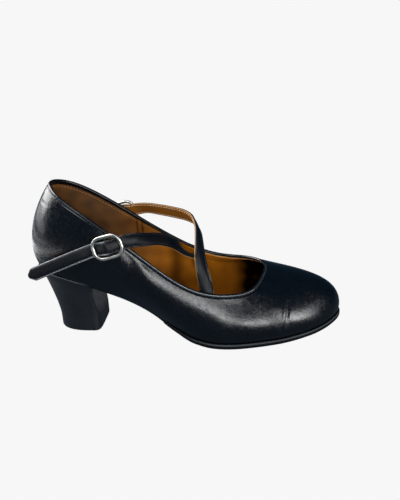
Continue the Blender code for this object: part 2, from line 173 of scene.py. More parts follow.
# Section of the buckle's wire, a flattened round: half its width in the frame's plane, half its thickness.
WIRE_HALF_WIDTH = 1.2
WIRE_HALF_THICKNESS = 0.95
WIRE_SIDES = 18
WIRE_SQUARENESS = 2.6

# Sizes of the meshes.
UPPER_RIBS = 440
WALL_STEPS = 220
OUTER_STATIONS = 84
INNER_STATIONS = 12
LINING_RIBS = 600
LINING_STATIONS = 56
PLATE_POINTS = 360
PLATE_ACROSS = 14
HEEL_POINTS = 128
HEEL_STATIONS = 34

# Topline from the leather below the roll up over the rolled edge and into the shoe: distance below the
# edge, depth of the surface under the wall's plain line. The dip at 2.3 mm is the valley under the roll,
# where the stitches lie.
BAND = (
    (3.7, 0.0), (3.35, 0.04), (3.05, 0.14), (2.8, 0.3), (2.6, 0.47), (2.45, 0.58), (2.32, 0.62),
    (2.22, 0.56), (2.14, 0.42), (2.03, 0.24), (1.88, 0.06), (1.68, -0.08), (1.44, -0.17), (1.15, -0.2),
    (0.86, -0.17), (0.58, -0.06), (0.34, 0.12), (0.16, 0.36), (0.05, 0.64), (0.0, 0.94), (0.03, 1.25),
    (0.16, 1.6), (0.42, 1.92), (0.8, 2.14), (1.2, 2.26),
)
BAND_TOP = 4.0
GROOVE = (2.32, 0.52)

# Heights over which the folds fade out below the roll and above the sole.
FOLDS_BELOW_ROLL = 4.0
FOLDS_ABOVE_SOLE = 3.0

# Inside the topline: depth of the binding and length of the step at its end, depth of the plain leather
# below, and the share of the wall's height at which its stations start.
BINDING_INSIDE = 2.3
BINDING_STEP = 0.06
LEATHER_THICKNESS = 1.25
INNER_START = 0.05

# Where the binding changes from its width at the collar to that at the throat, and how far its
# hand-cut edge wanders there over what length.
BINDING_NARROWS = (50.0, 125.0)
BINDING_WANDER = 0.45
WANDER_LENGTH = 7.0

# Painted highlight, a pale line on the roll's outside: distances below the edge between which it shows,
# depth that ends the outside, where along the shoe it grows and fades, the share lost there, its least
# share.
ROLL_HIGHLIGHT = (0.8, 1.3, 1.6, 2.0)
ROLL_OUTSIDE = 0.5
HIGHLIGHT_GROWS = (60.0, 90.0)
HIGHLIGHT_FADES = (150.0, 170.0)
HIGHLIGHT_LOSS = 0.9
HIGHLIGHT_LEAST = 0.15

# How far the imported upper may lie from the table.
TABLE_TOLERANCE = 2.0

# The upper's lower edge is drawn under: how far and over what height.
FEATHER_ROUND = 0.7
FEATHER_WIDTH = 1.6

# Depths of the lining's back and face in the wall, and the lip along its edge: height, where along the
# shoe it grows, length over which it fades, height of the edge, share of the lip just below.
LINING_BACK = 1.3
LINING_FACE = 2.05
LINING_LIP = 0.85
LIP_GROWS = (95.0, 135.0)
LIP_FADE = 1.6
LIP_HEIGHT = 1.3
LIP_BELOW = 0.9

# The lining starts below the binding. Stations of its upper edge: distance below its top, step from its
# face, share of the lip. Then the share of the wall's height that its face covers, and where along the
# shoe its cut edge starts to show.
LINING_DROP = 0.12
LINING_EDGE = ((0.0, -0.1, 0.2), (0.15, 0.0, 0.4), (0.55, 0.0, 0.8), (1.0, 0.0, 1.0))
FACE_SHARE = 0.985
RAW_EDGE_FROM = 126.0

# The lining's lower edge turns in under the sock: how far, and its thickness there.
LINING_MARGIN = 2.5
MARGIN_THICKNESS = 0.5

# The lining's seam tape and the stay along the throat: how far each reaches down the wall, its soft end,
# where it lies along the shoe, height.
TAPE_LENGTH = 22.0
TAPE_END = 3.0
SEAM_TAPE = (76.6, 77.4, 81.6, 82.4)
TAPE_HEIGHT = 0.35
STAY_WIDTH = 9.0
STAY_EDGE = 0.4
STAY_ALONG = (122.0, 134.0, 172.0, 182.0)
STAY_HEIGHT = 0.45

# The lining's unevenness, and the clouds in its stains: height or share, and size.
LINING_UNEVEN = (0.2, 16.0)
STAIN_CLOUDS = (0.2, 9.0)

# Painted shade on the lining: shade with a greyish painted sheen at the back, shade that makes the toe
# black, painted shade along the seam tape's edges, the strap's painted shadow on the inner side and
# painted shade along the stay's edge there. Each has its share and where it lies along the shoe.
BACK_SHADE_AND_SHEEN = 0.78
BACK_SHADE_ALONG = (112.0, 50.0)
BACK_SHADE_SHARE = 0.12
TOE_SHADE = 1.1
TOE_SHADE_ALONG = (151.0, 171.0)
TAPE_EDGE_SHADE = 0.8
TAPE_EDGE_LINES = (77.3, 81.5)
TAPE_EDGE_WIDTH = 0.8
STRAP_SHADOW = 0.7
STRAP_SHADOW_PLACE = (109.0, 7.0)
STAY_EDGE_SHADE = 0.6
STAY_SHADE_WIDTH = 0.5
STAY_SHADE_ALONG = (128.0, 140.0)
INNER_SIDE = (8.0, 16.0)

# Stitch row that holds the lining to the binding: below the binding's edge, how far it runs forward, and
# how far it stands out of the lining.
LINING_ROW = 2.4
LINING_ROW_TO = 112.0
LINING_ROW_PROUD = 0.1

# A fold deepens and fades along its line as half a sine wave with a share cut off at each end. Then the
# ridge beside it as a share of its depth, and the calf's soft unevenness as size and height.
CREASE_END = 0.12
CREASE_RIDGE = 0.45
UNEVEN_CALF = ((15.0, 0.07), (5.0, 0.012))

# Soft folds in the upper: half width and depth in mm, and the line along the bottom of the fold.
CREASES = (
    (1.0, 0.03, ((191.5, -26.2, 27.5), (190.7, -32.2, 15.1))),
    (1.1, 0.36, ((196.2, -22.4, 30.0), (195.7, -27.2, 22.0), (194.9, -31.0, 13.7))),
    (2.4, 0.08, ((172.8, -22.8, 42.8), (178.5, -20.5, 41.6), (184.0, -18.7, 40.1))),
    (2.4, 0.1, ((172.7, -27.8, 36.4), (178.5, -26.8, 35.2), (184.6, -25.0, 33.4))),
    (2.0, 0.06, ((177.1, -29.7, 30.9), (184.0, -27.0, 31.0), (190.6, -24.3, 30.7))),
    (1.1, 0.1, ((15.5, -8.5, 104.6), (19.5, -14.6, 103.8), (24.5, -18.2, 103.0))),
    (4.6, 0.38, ((82.0, -30.1, 76.0), (83.5, -32.6, 62.0), (86.0, -34.3, 47.0))),
    (1.0, 0.16, ((190.0, 33.5, 32.0), (189.0, 39.0, 16.0))),
    (1.3, 0.3, ((195.0, 31.5, 32.0), (194.0, 38.0, 15.0))),
    (1.0, 0.16, ((198.5, 31.0, 30.0), (198.0, 37.0, 15.0))),
    (2.8, 0.3, ((84.0, 29.5, 76.0), (86.0, 30.5, 62.0), (88.0, 29.0, 48.0))),
)

# Edge of the sole from the tread up: moved out from the CAD outline, share of the thickness.
SOLE_EDGE = (
    (-1.3, 0.0), (-0.6, 0.02), (-0.2, 0.1), (-0.02, 0.26), (0.0, 0.5), (-0.02, 0.7), (-0.1, 0.84),
    (-0.28, 0.94), (-0.6, 0.99), (-1.1, 1.0),
)
# Rows of that edge where a painted highlight makes its upper corner pale, how much, and where along
# the shoe it grows.
SOLE_HIGHLIGHT_ROWS = (6, 9)
SOLE_HIGHLIGHT = 0.35
SOLE_HIGHLIGHT_GROWS = (110.0, 150.0)

# Height over the underside up to which the sole is tread, and how far its edge draws in at the seat.
TREAD_HEIGHT = 0.1
SEAT_RECESS = 1.0

# The sock's edge in the same columns, how far it lies inside the foot's outline, its thickness, and the
# share of that which is board.
SOCK_EDGE = (
    (-0.5, 0.0), (-0.1, 0.1), (0.0, 0.5), (-0.1, 0.85), (-0.5, 1.0),
)
SOCK_INSET = 2.1
SOCK_THICKNESS = 2.0
BOARD_SHARE = 0.6

# Half section of a strap from its middle to its edge: across it and out of its outer face, for the
# black leather with its crowned face, stitch groove and rolled rim, and for the lining.
STRAP_OUTER = (
    (0.0, 1.15), (1.0, 1.13), (1.9, 1.04), (2.6, 0.9), (3.1, 0.72), (3.4, 0.55), (3.6, 0.46),
    (3.75, 0.44), (3.92, 0.5), (4.08, 0.68), (4.25, 0.84), (4.45, 0.92), (4.65, 0.9), (4.83, 0.78),
    (4.95, 0.58), (5.0, 0.3), (5.0, -0.15),
)
STRAP_LINING = (
    (0.0, -1.0), (2.0, -1.0), (3.45, -0.99), (3.75, -0.92), (4.05, -0.99), (4.7, -0.98), (5.0, -0.78),
    (5.0, -0.19),
)

# Stitch rows of a strap: distance from its middle line, height over and under it, and the sections left
# free at the sewn end and at the tip.
STITCH_ROW = 3.75
STITCH_OVER = 0.56
STITCH_UNDER = 1.06
SEWN_FROM = 4
SEWN_SHORT_OF_TIP = 6

# Angles in degrees from which edges stay crisp.
STRAP_CRISP = 50.0
BUCKLE_CRISP = 60.0

# How dusty and how dark the straps' lining has become.
STRAP_WEAR = (("dust", 0.3), ("soil", 0.25))

# How much a painted highlight makes the rims of the free ends pale.
TAIL_HIGHLIGHT = 0.9

# The camera: place in row metres, direction angles in degrees, the photo's own frame in pixels, sensor in
# mm, nearest and farthest distance in metres.
CAMERA_PLACE = (0.1234, -0.3624, 0.2131)
CAMERA_AZIMUTH = 3.88
CAMERA_ELEVATION = 21.14
CAMERA_ROLL = -1.14
FOCAL_PIXELS = 512.63
PHOTO_WIDTH = 400
PHOTO_HEIGHT = 500
CENTRE_PIXEL = (203.61, 237.67)
SENSOR = 36.0
CAMERA_SEES = (0.01, 20.0)


def hex_colour(text):
    """An sRGB hex value as linear red, green, blue and alpha."""
    shares = [int(text[i : i + 2], 16) / 255.0 for i in (1, 3, 5)]
    linear = [s / 12.92 if s <= 0.04045 else ((s + 0.055) / 1.055) ** 2.4 for s in shares]
    return (*linear, 1.0)


def hermite(t, run, low, high, low_slope, high_slope):
    """Cubic from low to high with the given slopes at its ends; t goes from 0 to 1 over the run."""
    rest = 1.0 - t
    level = low * rest**2 * (1.0 + 2.0 * t) + high * t**2 * (3.0 - 2.0 * t)
    return level + run * (low_slope * t * rest**2 - high_slope * t**2 * rest)


def monotone(knots, values, at):
    """Smooth curve through the knots that stays level where neighbouring values are equal."""
    run = np.diff(knots)
    slope = np.diff(values) / run
    tangent = np.zeros(len(knots))
    tangent[[0, -1]] = slope[[0, -1]]
    for i in range(1, len(run)):
        if slope[i - 1] * slope[i] > 0.0:
            before = 2.0 * run[i] + run[i - 1]
            after = run[i] + 2.0 * run[i - 1]
            tangent[i] = (before + after) / (before / slope[i - 1] + after / slope[i])
    at = np.clip(at, knots[0], knots[-1])
    i = np.clip(np.searchsorted(knots, at) - 1, 0, len(run) - 1)
    return hermite((at - knots[i]) / run[i], run[i], values[i], values[i + 1], tangent[i], tangent[i + 1])


def closed_cubic(knots, rows, at):
    """Periodic cubic through the rows; knots has one more entry, the length of the loop."""
    count = len(rows)
    run = np.diff(knots)
    ahead = np.roll(rows, -1, axis=0)
    slope = (ahead - rows) / run[:, None]
    matrix = np.zeros((count, count))
    for i in range(count):
        matrix[i, i - 1] += run[i - 1]
        matrix[i, i] += 2.0 * (run[i - 1] + run[i])
        matrix[i, (i + 1) % count] += run[i]
    bend = np.linalg.solve(matrix, 6.0 * (slope - np.roll(slope, 1, axis=0)))
    i = np.clip(np.searchsorted(knots, at, side="right") - 1, 0, count - 1)
    step = (at - knots[i])[:, None]
    length = run[i][:, None]
    next_bend = np.roll(bend, -1, axis=0)[i]
    linear = slope[i] - length * (2.0 * bend[i] + next_bend) / 6.0
    curve = bend[i] / 2.0 + step * (next_bend - bend[i]) / (6.0 * length)
    return rows[i] + step * (linear + step * curve)


def passed(points):
    """Distance passed at each point of a path."""
    steps = np.linalg.norm(np.diff(points, axis=0), axis=1)
    return np.concatenate(([0.0], np.cumsum(steps)))


def open_curve(rows, count):
    """Points read evenly along a smooth curve through rows whose first three columns are places."""
    rows = np.array(rows)
    knots = passed(rows[:, :3])
    tangent = np.gradient(rows, knots, axis=0)
    at = np.linspace(0.0, knots[-1], count)
    i = np.clip(np.searchsorted(knots, at, side="right") - 1, 0, len(rows) - 2)
    run = np.diff(knots)[i, None]
    return hermite((at - knots[i])[:, None] / run, run, rows[i], rows[i + 1], tangent[i], tangent[i + 1])


def unit(vectors):
    """Vectors scaled to length one along their last axis."""
    return vectors / np.linalg.norm(vectors, axis=-1, keepdims=True)


def smooth_step(low, high, at):
    """0 at low and beyond it, 1 at high and beyond it, and a smooth change between them."""
    t = np.clip((np.asarray(at, float) - low) / (high - low), 0.0, 1.0)
    return t * t * (3.0 - 2.0 * t)


def between(edges, at):
    """1 between the two inner edges, 0 beyond the two outer ones, and a smooth change on each side."""
    start, full, full_to, end = edges
    return smooth_step(start, full, at) * smooth_step(end, full_to, at)


def bump(at, centre, width):
    """1 at the centre, falling smoothly to almost nothing two widths away."""
    return np.exp(-(((at - centre) / width) ** 2))


def clouds(points, size):
    """Soft patches of `size` mm: values of about -1 to 1 at the points."""
    flat = points.reshape(-1, 3)
    return np.array([noise.noise(Vector(point) / size) for point in flat]).reshape(points.shape[:-1])


def outward(plan):
    """Unit normals that point out of a loop of plan points running from the toe to the outer side."""
    tangent = np.roll(plan, -1, axis=0) - np.roll(plan, 1, axis=0)
    return unit(np.column_stack((-tangent[:, 1], tangent[:, 0])))


def to_row(points):
    """Table millimetres to metres in the row frame."""
    return (np.asarray(points, float) - (HEEL_CENTRE, 0.0, 0.0)) * MM


GROUND_ALONG, GROUND_HEIGHT, SOLE_THICKNESS = np.array(GROUND_LINE).T


def sole_under(along):
    """Height of the sole's underside."""
    return monotone(GROUND_ALONG, GROUND_HEIGHT, along)


def sole_over(along):
    """Height of the sole's upper side."""
    return sole_under(along) + monotone(GROUND_ALONG, SOLE_THICKNESS, along)


def foot_bed(along):
    """Height of the sock's underside and of the upper's lower edge."""
    return sole_over(along) + GAP


def rib_values(count):
    """The rib table read at evenly spaced places round the foot."""
    table = np.array(RIBS)
    knots = passed(np.vstack((table, table[:1]))[:, :2])
    at = np.linspace(0.0, knots[-1], count, endpoint=False)
    return Rib(*closed_cubic(knots, table, at).T)


def upper_grid(around):
    """Points of the upper's outer surface: an array of ribs, each from the sole to the topline."""
    rib = rib_values(around)
    foot_plan = np.column_stack((rib.foot_x, rib.foot_y))
    top_plan = np.column_stack((rib.top_x, rib.top_y))
    foot = np.column_stack((foot_plan, foot_bed(rib.foot_x)))
    top = np.column_stack((top_plan, rib.top_z))
    swell = np.column_stack((outward(foot_plan) * rib.swell[:, None], rib.rise))
    shoulder = np.column_stack((outward(top_plan) * rib.shoulder[:, None], -rib.drop))
    t = np.linspace(0.0, 1.0, WALL_STEPS + 1)[None, :, None]
    rest = 1.0 - t
    points = foot[:, None] * rest**3 + 3.0 * (foot + swell)[:, None] * rest**2 * t
    return points + 3.0 * (top + shoulder)[:, None] * rest * t**2 + top[:, None] * t**3


class Wall:
    """The upper's outer surface, read by rib and by distance below the topline."""

    def __init__(self, around):
        self.grid = upper_grid(around)[:, ::-1]
        along = np.roll(self.grid, -1, axis=0) - np.roll(self.grid, 1, axis=0)
        down = np.gradient(self.grid, axis=1)
        self.face = unit(np.cross(along, down))
        steps = np.linalg.norm(np.diff(self.grid, axis=1), axis=2)
        self.below = np.concatenate((np.zeros((around, 1)), np.cumsum(steps, axis=1)), axis=1)
        self.height = self.below[:, -1:]

    def read(self, below):
        """Places and outward directions at the given distances below the topline, per rib."""
        place = np.empty((*below.shape, 3))
        face = np.empty((*below.shape, 3))
        for rib in range(len(below)):
            for axis in range(3):
                place[rib, :, axis] = np.interp(below[rib], self.below[rib], self.grid[rib, :, axis])
                face[rib, :, axis] = np.interp(below[rib], self.below[rib], self.face[rib, :, axis])
        return place, unit(face)

    def at_depth(self, below, inset):
        """Places at the given distances below the topline, set into the wall."""
        place, face = self.read(below)
        return place - face * inset[..., None]

    def nearest(self, point):
        """The surface point closest to a place."""
        flat = self.grid.reshape(-1, 3)
        return flat[np.argmin(np.sum((flat - point) ** 2, axis=1))]


def line_distance(points, line):
    """Distance of each point from a polyline, and the share of the line passed at the nearest place."""
    best = np.full(len(points), np.inf)
    share = np.zeros(len(points))
    done = passed(line)
    for start, end, low, high in zip(line, line[1:], done, done[1:]):
        t = np.clip((points - start) @ (end - start) / (high - low) ** 2, 0.0, 1.0)
        distance = np.linalg.norm(points - (start + t[:, None] * (end - start)), axis=1)
        closer = distance < best
        best[closer] = distance[closer]
        share[closer] = (low + t[closer] * (high - low)) / done[-1]
    return best, share


def crease_relief(wall, points):
    """Height of the upper's folds and unevenness over its plain surface, in mm."""
    lift = np.zeros(len(points))
    for width, depth, line in CREASES:
        distance, share = line_distance(points, np.array([wall.nearest(point) for point in line]))
        fade = np.sin(np.pi * (CREASE_END + (1.0 - 2.0 * CREASE_END) * share))
        ridge = bump(distance, 2.0 * width, width)
        lift += depth * fade * (CREASE_RIDGE * ridge - bump(distance, 0.0, width))
    for size, height in UNEVEN_CALF:
        lift += height * clouds(points, size)
    return lift


def grid_faces(rows, columns, wrap_rows):
    """Quads over a grid of points numbered row by row; each row is a closed loop."""
    faces = []
    for i in range(rows if wrap_rows else rows - 1):
        below = ((i + 1) % rows) * columns
        for j in range(columns):
            beside = (j + 1) % columns
            faces.append((i * columns + j, i * columns + beside, below + beside, below + j))
    return faces


def ladder_faces(ring, rungs):
    """Faces that close a loop of points: rungs join point k to the k-th from the loop's other end."""
    half = len(ring) // 2
    rows = [[ring[0]]]
    for k in range(1, half):
        rows.append([ring[k], *rungs[k - 1], ring[-k]])
    rows.append([ring[half]])
    faces = []
    for low, high in zip(rows, rows[1:]):
        if len(low) == 1:
            faces += [(low[0], high[i], high[i + 1]) for i in range(len(high) - 1)]
        elif len(high) == 1:
            faces += [(low[i], high[0], low[i + 1]) for i in range(len(low) - 1)]
        else:
            faces += [(low[i], high[i], high[i + 1], low[i + 1]) for i in range(len(low) - 1)]
    return faces


def close_ring(points, first, count):
    """Adds rung points across the loop of `count` points from `first`; returns the faces that close it."""
    rungs = []
    shares = np.linspace(0.0, 1.0, PLATE_ACROSS + 2)[1:-1]
    for k in range(1, count // 2):
        start = np.array(points[first + k])
        end = np.array(points[first + count - k])
        rungs.append(list(range(len(points), len(points) + PLATE_ACROSS)))
        points.extend(start + share * (end - start) for share in shares)
    return ladder_faces(list(range(first, first + count)), rungs)


def add_object(name, data):
    """A new object at the scene's origin."""
    made = bpy.data.objects.new(name, data)
    bpy.context.scene.collection.objects.link(made)
    return made


def add_piece(name, points, faces, finishes, face_finish=None, sharp=None, stains=None):
    """A named object in the row frame with outward faces; face_finish picks each face's finish.

    sharp is the angle in degrees from which edges stay crisp; the last argument gives values for the points
    by name, for stains and painted light.
    """
    mesh = bpy.data.meshes.new(name)
    mesh.from_pydata(to_row(points).tolist(), [], faces)
    for surface in finishes:
        mesh.materials.append(surface)
    if face_finish is not None:
        mesh.polygons.foreach_set("material_index", face_finish)
    for attribute, amount in (stains or {}).items():
        mesh.attributes.new(attribute, "FLOAT", "POINT").data.foreach_set("value", amount)
    build = bmesh.new()
    build.from_mesh(mesh)
    bmesh.ops.recalc_face_normals(build, faces=build.faces)
    build.to_mesh(mesh)
    build.free()
    mesh.shade_smooth()
    if sharp is not None:
        mesh.set_sharp_from_angle(angle=math.radians(sharp))
    mesh.update()
    return add_object(name, mesh)


def settle(piece, slot, *nodes):
    """Puts a piece on the shoe's one body and hides the CAD nodes it stands for; slot is not used."""
    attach(piece, "root")
    if nodes:
        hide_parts(*nodes)


def add_node(tree, kind, settings, links):
    """Adds a node; settings go to its own fields or its inputs, links join outputs to its inputs."""
    node = tree.nodes.new(kind)
    for name, value in settings.items():
        if isinstance(name, str) and hasattr(node, name):
            setattr(node, name, value)
        else:
            node.inputs[name].default_value = value
    for name, source in links.items():
        tree.links.new(source, node.inputs[name])
    return node


def per_mm(size):
    """Texture scale whose features are `size` mm apart on Object coordinates in metres."""
    return 1.0 / (size * MM)


# Finishes: two close tones, lowest and highest roughness, share of the usual reflection, width and height
# of the leather's grain in mm, stains and painted light as an attribute and its colour, size of the tones'
# clouds in mm, metal.
FINISH_COLUMNS = "colour other gloss shine grain depth stains clouds metal"
Finish = namedtuple("Finish", FINISH_COLUMNS, defaults=(0.5, 0.0, 0.0, (), 11.0, 0.0))
# Painted highlight: a pale colour laid on leather edges through an attribute.
PAINTED_HIGHLIGHT = (("rubbed", "rubbed"),)
# Painted shade and sheen on the lining, with its uneven tone.
SHADE_SHEEN_AND_SOIL = (("dust", "lining_dust"), ("soil", "lining_soiled"))
FINISHES = {
    # Aniline calf, dyed through and polished: near black with a cool, soft sheen. Its grain of
    # 0.3 mm is too fine to show, so it is drawn at 1.6 mm. A painted highlight pales the topline's roll.
    "polished_black_calf": Finish("calf", "calf_worn", (0.17, 0.29), 0.5, 1.6, 0.036, PAINTED_HIGHLIGHT),
    # The same calf glued over the heel block, stretched and left unpolished: satin dark grey.
    # A painted highlight pales the top of its rim.
    "satin_heel_calf": Finish("heel", "calf_worn", (0.46, 0.56), 0.5, 1.0, 0.02, PAINTED_HIGHLIGHT),
    # Strap calf, split thin and plated: dull, with a plain grain that shows.
    "strap_calf": Finish("strap", "calf_worn", (0.4, 0.48), 0.24, 1.4, 0.07),
    # The same leather where a hot iron has creased the strap's rims: smooth and glossy; on the tails
    # a painted highlight makes the rims pale.
    "creased_strap_rim": Finish("heel", "calf_worn", (0.2, 0.26), 0.5, 1.4, 0.02, PAINTED_HIGHLIGHT),
    # Vegetable-tanned lining leather, unfinished on the skin side: warm tan with darker clouds. Painted
    # shade and a greyish painted sheen darken it at the back, and painted shade makes the toe almost black.
    "vegetable_tan_lining": Finish("lining", "lining_dark", (0.6, 0.75), 0.02, 1.4, 0.03, SHADE_SHEEN_AND_SOIL),
    # Sole leather, edge inked and waxed: black and half glossy, with a painted highlight on the
    # edge's upper corner.
    "waxed_sole_edge": Finish("sole", "calf_worn", (0.44, 0.56), 0.14, 1.6, 0.03, PAINTED_HIGHLIGHT),
    # Buffed sole and top-piece leather that touches the floor: dull, with dusty scuffs.
    "buffed_tread": Finish("sole", "scuff", (0.7, 0.85), 0.4, 2.4, 0.06),
    # The lining's cut edge: pale raw fibres.
    "raw_leather_edge": Finish("raw_edge", "lining", (0.68, 1.02), clouds=0.8),
    # Bonded polyester thread: black outside, cream inside the straps, brown on the lining.
    "black_thread": Finish("black_thread", "calf", (0.44, 0.66), clouds=0.5),
    "cream_thread": Finish("cream_thread", "raw_edge", (0.56, 0.84), clouds=0.5),
    "brown_thread": Finish("brown_thread", "lining", (0.56, 0.84), clouds=0.5),
    # Nickel plate over pressed wire, tumbled: bright, with faint haze.
    "tumbled_nickel": Finish("nickel", "nickel_haze", (0.272, 0.408), clouds=8.0, metal=1.0),
}

# Size in mm of the patches that make leather's gloss uneven.
GLOSS_PATCHES = 2.4


def finish(name, colours):
    """The finish of that name, made the first time it is asked for."""
    if name in bpy.data.materials:
        return bpy.data.materials[name]
    row = FINISHES[name]
    made = bpy.data.materials.new(name)
    made.use_nodes = True
    tree = made.node_tree
    shader = tree.nodes["Principled BSDF"]
    shader.inputs["Specular IOR Level"].default_value = row.shine
    shader.inputs["Metallic"].default_value = row.metal
    place = add_node(tree, "ShaderNodeTexCoord", {}, {}).outputs["Object"]
    soft = {"Scale": per_mm(row.clouds), "Detail": 4.0}
    patches = add_node(tree, "ShaderNodeTexNoise", soft, {"Vector": place})
    mix = {"data_type": "RGBA", 6: getattr(colours, row.colour), 7: getattr(colours, row.other)}
    tone = add_node(tree, "ShaderNodeMix", mix, {0: patches.outputs["Fac"]}).outputs[2]
    for attribute, stain in row.stains:
        amount = add_node(tree, "ShaderNodeAttribute", {"attribute_name": attribute}, {}).outputs["Fac"]
        wear = {"data_type": "RGBA", 7: getattr(colours, stain)}
        tone = add_node(tree, "ShaderNodeMix", wear, {0: amount, 6: tone}).outputs[2]
    tree.links.new(tone, shader.inputs["Base Color"])
    if row.grain > 0.0:
        fine = {"Scale": per_mm(GLOSS_PATCHES), "Detail": 3.0}
        patches = add_node(tree, "ShaderNodeTexNoise", fine, {"Vector": place})
        tree.links.new(add_grain(tree, place, row.grain, row.depth), shader.inputs["Normal"])
    spread = {"From Min": 0.3, "From Max": 0.7, "To Min": row.gloss[0], "To Max": row.gloss[1]}
    uneven = add_node(tree, "ShaderNodeMapRange", spread, {"Value": patches.outputs["Fac"]})
    tree.links.new(uneven.outputs["Result"], shader.inputs["Roughness"])
    return made


def add_grain(tree, place, grain, depth):
    """A leather's grain of rounded cells with pores: the normal that its bumps give."""
    cell = {"feature": "SMOOTH_F1", "Scale": per_mm(grain), "Smoothness": 0.4}
    cells = add_node(tree, "ShaderNodeTexVoronoi", cell, {"Vector": place})
    pore = {"Scale": per_mm(grain * 0.6), "Detail": 3.0}
    pores = add_node(tree, "ShaderNodeTexNoise", pore, {"Vector": place})
    domes = {"Strength": 1.0, "Distance": depth * MM, "invert": True}
    cell_bump = add_node(tree, "ShaderNodeBump", domes, {"Height": cells.outputs["Distance"]})
    pits = {"Strength": 1.0, "Distance": depth * 0.7 * MM}
    under = {"Height": pores.outputs["Fac"], "Normal": cell_bump.outputs["Normal"]}
    return add_node(tree, "ShaderNodeBump", pits, under).outputs["Normal"]


def length_property(name, description, default):
    """A length in metres that a user may change."""
    return FloatProperty(
        name=name, description=description, default=default, unit="LENGTH", subtype="DISTANCE"
    )


class ShoeSizes(bpy.types.PropertyGroup):
    """Sizes of the sewn and finished details."""

    turn_back: length_property("Binding at the collar", "How far the binding turns in there", 0.0036)
    turn_front: length_property("Binding at the throat", "How far the binding turns in there", 0.0019)
    stitch_length: length_property("Stitch length", "Visible length of one stitch", 0.0016)
    stitch_spacing: length_property("Stitch spacing", "Distance from one stitch to the next", 0.0025)
    thread: length_property("Thread", "Thickness of the thread", 0.0006)
    crease: FloatProperty(
        name="Creasing",
        description="Depth of the upper's folds against the photographed shoe",
        default=1.0,
        min=0.0,
        max=2.0,
        subtype="FACTOR",
    )


def colour_property(name, description, text):
    """A colour that a user may change, given as an sRGB hex value."""
    start = hex_colour(text)
    return FloatVectorProperty(
        name=name, description=description, default=start, size=4, min=0.0, max=1.0, subtype="COLOR"
    )


class ShoeColours(bpy.types.PropertyGroup):
    """Colours of the leathers, threads and metal."""

    calf: colour_property("Calf", "Polished upper leather", "#03060a")
    calf_worn: colour_property("Calf, paler", "Paler clouds in the black leathers", "#080c12")
    # Painted highlight on the topline's roll, the sole edge, the heel rim and the tails' rims.
    rubbed: colour_property("Rubbed edges", "Leather edges that wear has paled", "#666b6f")
    heel: colour_property("Heel cover", "Satin leather of the heel", "#14181f")
    strap: colour_property("Straps", "Outer leather of the straps", "#070b10")
    sole: colour_property("Sole", "Inked sole leather", "#06080b")
    scuff: colour_property("Scuffs", "Dust on the tread", "#2b2926")
    lining: colour_property("Lining", "Tan lining leather", "#a86815")
    lining_dark: colour_property("Lining, darker", "Darker clouds of the lining", "#8a5013")
    # Painted shade and greyish painted sheen at the lining's back; a plain duller tone on the straps.
    lining_dust: colour_property("Lining, dusty", "Lining that the heel has rubbed grey", "#4a3a2e")
    # Painted shade and shadow in the lining, black in the toe; a plain darker tone on the straps.
    lining_soiled: colour_property("Lining, worn", "Lining where it has gone dark", "#0c0502")
    raw_edge: colour_property("Raw edge", "Cut edge of the lining leather", "#b08f66")
    black_thread: colour_property("Black thread", "Thread on the outside", "#22262b")
    cream_thread: colour_property("Cream thread", "Thread inside the straps", "#e2d2b0")
    brown_thread: colour_property("Brown thread", "Thread on the lining", "#9a7a58")
    nickel: colour_property("Nickel", "Plated buckles", "#dedbd2")
    nickel_haze: colour_property("Nickel, hazed", "Haze on the buckles", "#c4c0b6")
    backdrop: colour_property("Backdrop", "Pale floor and backdrop", "#f7f7f7")


def turned_in(sizes, wall):
    """How far the black binding turns into the shoe at each rib, in mm; its hand-cut edge wanders."""
    top = wall.grid[:, 0]
    at_front = smooth_step(*BINDING_NARROWS, top[:, 0])
    wander = BINDING_WANDER * clouds(top, WANDER_LENGTH)
    turn = sizes.turn_back * (1.0 - at_front) + sizes.turn_front * at_front
    return (turn / MM + wander * at_front)[:, None]


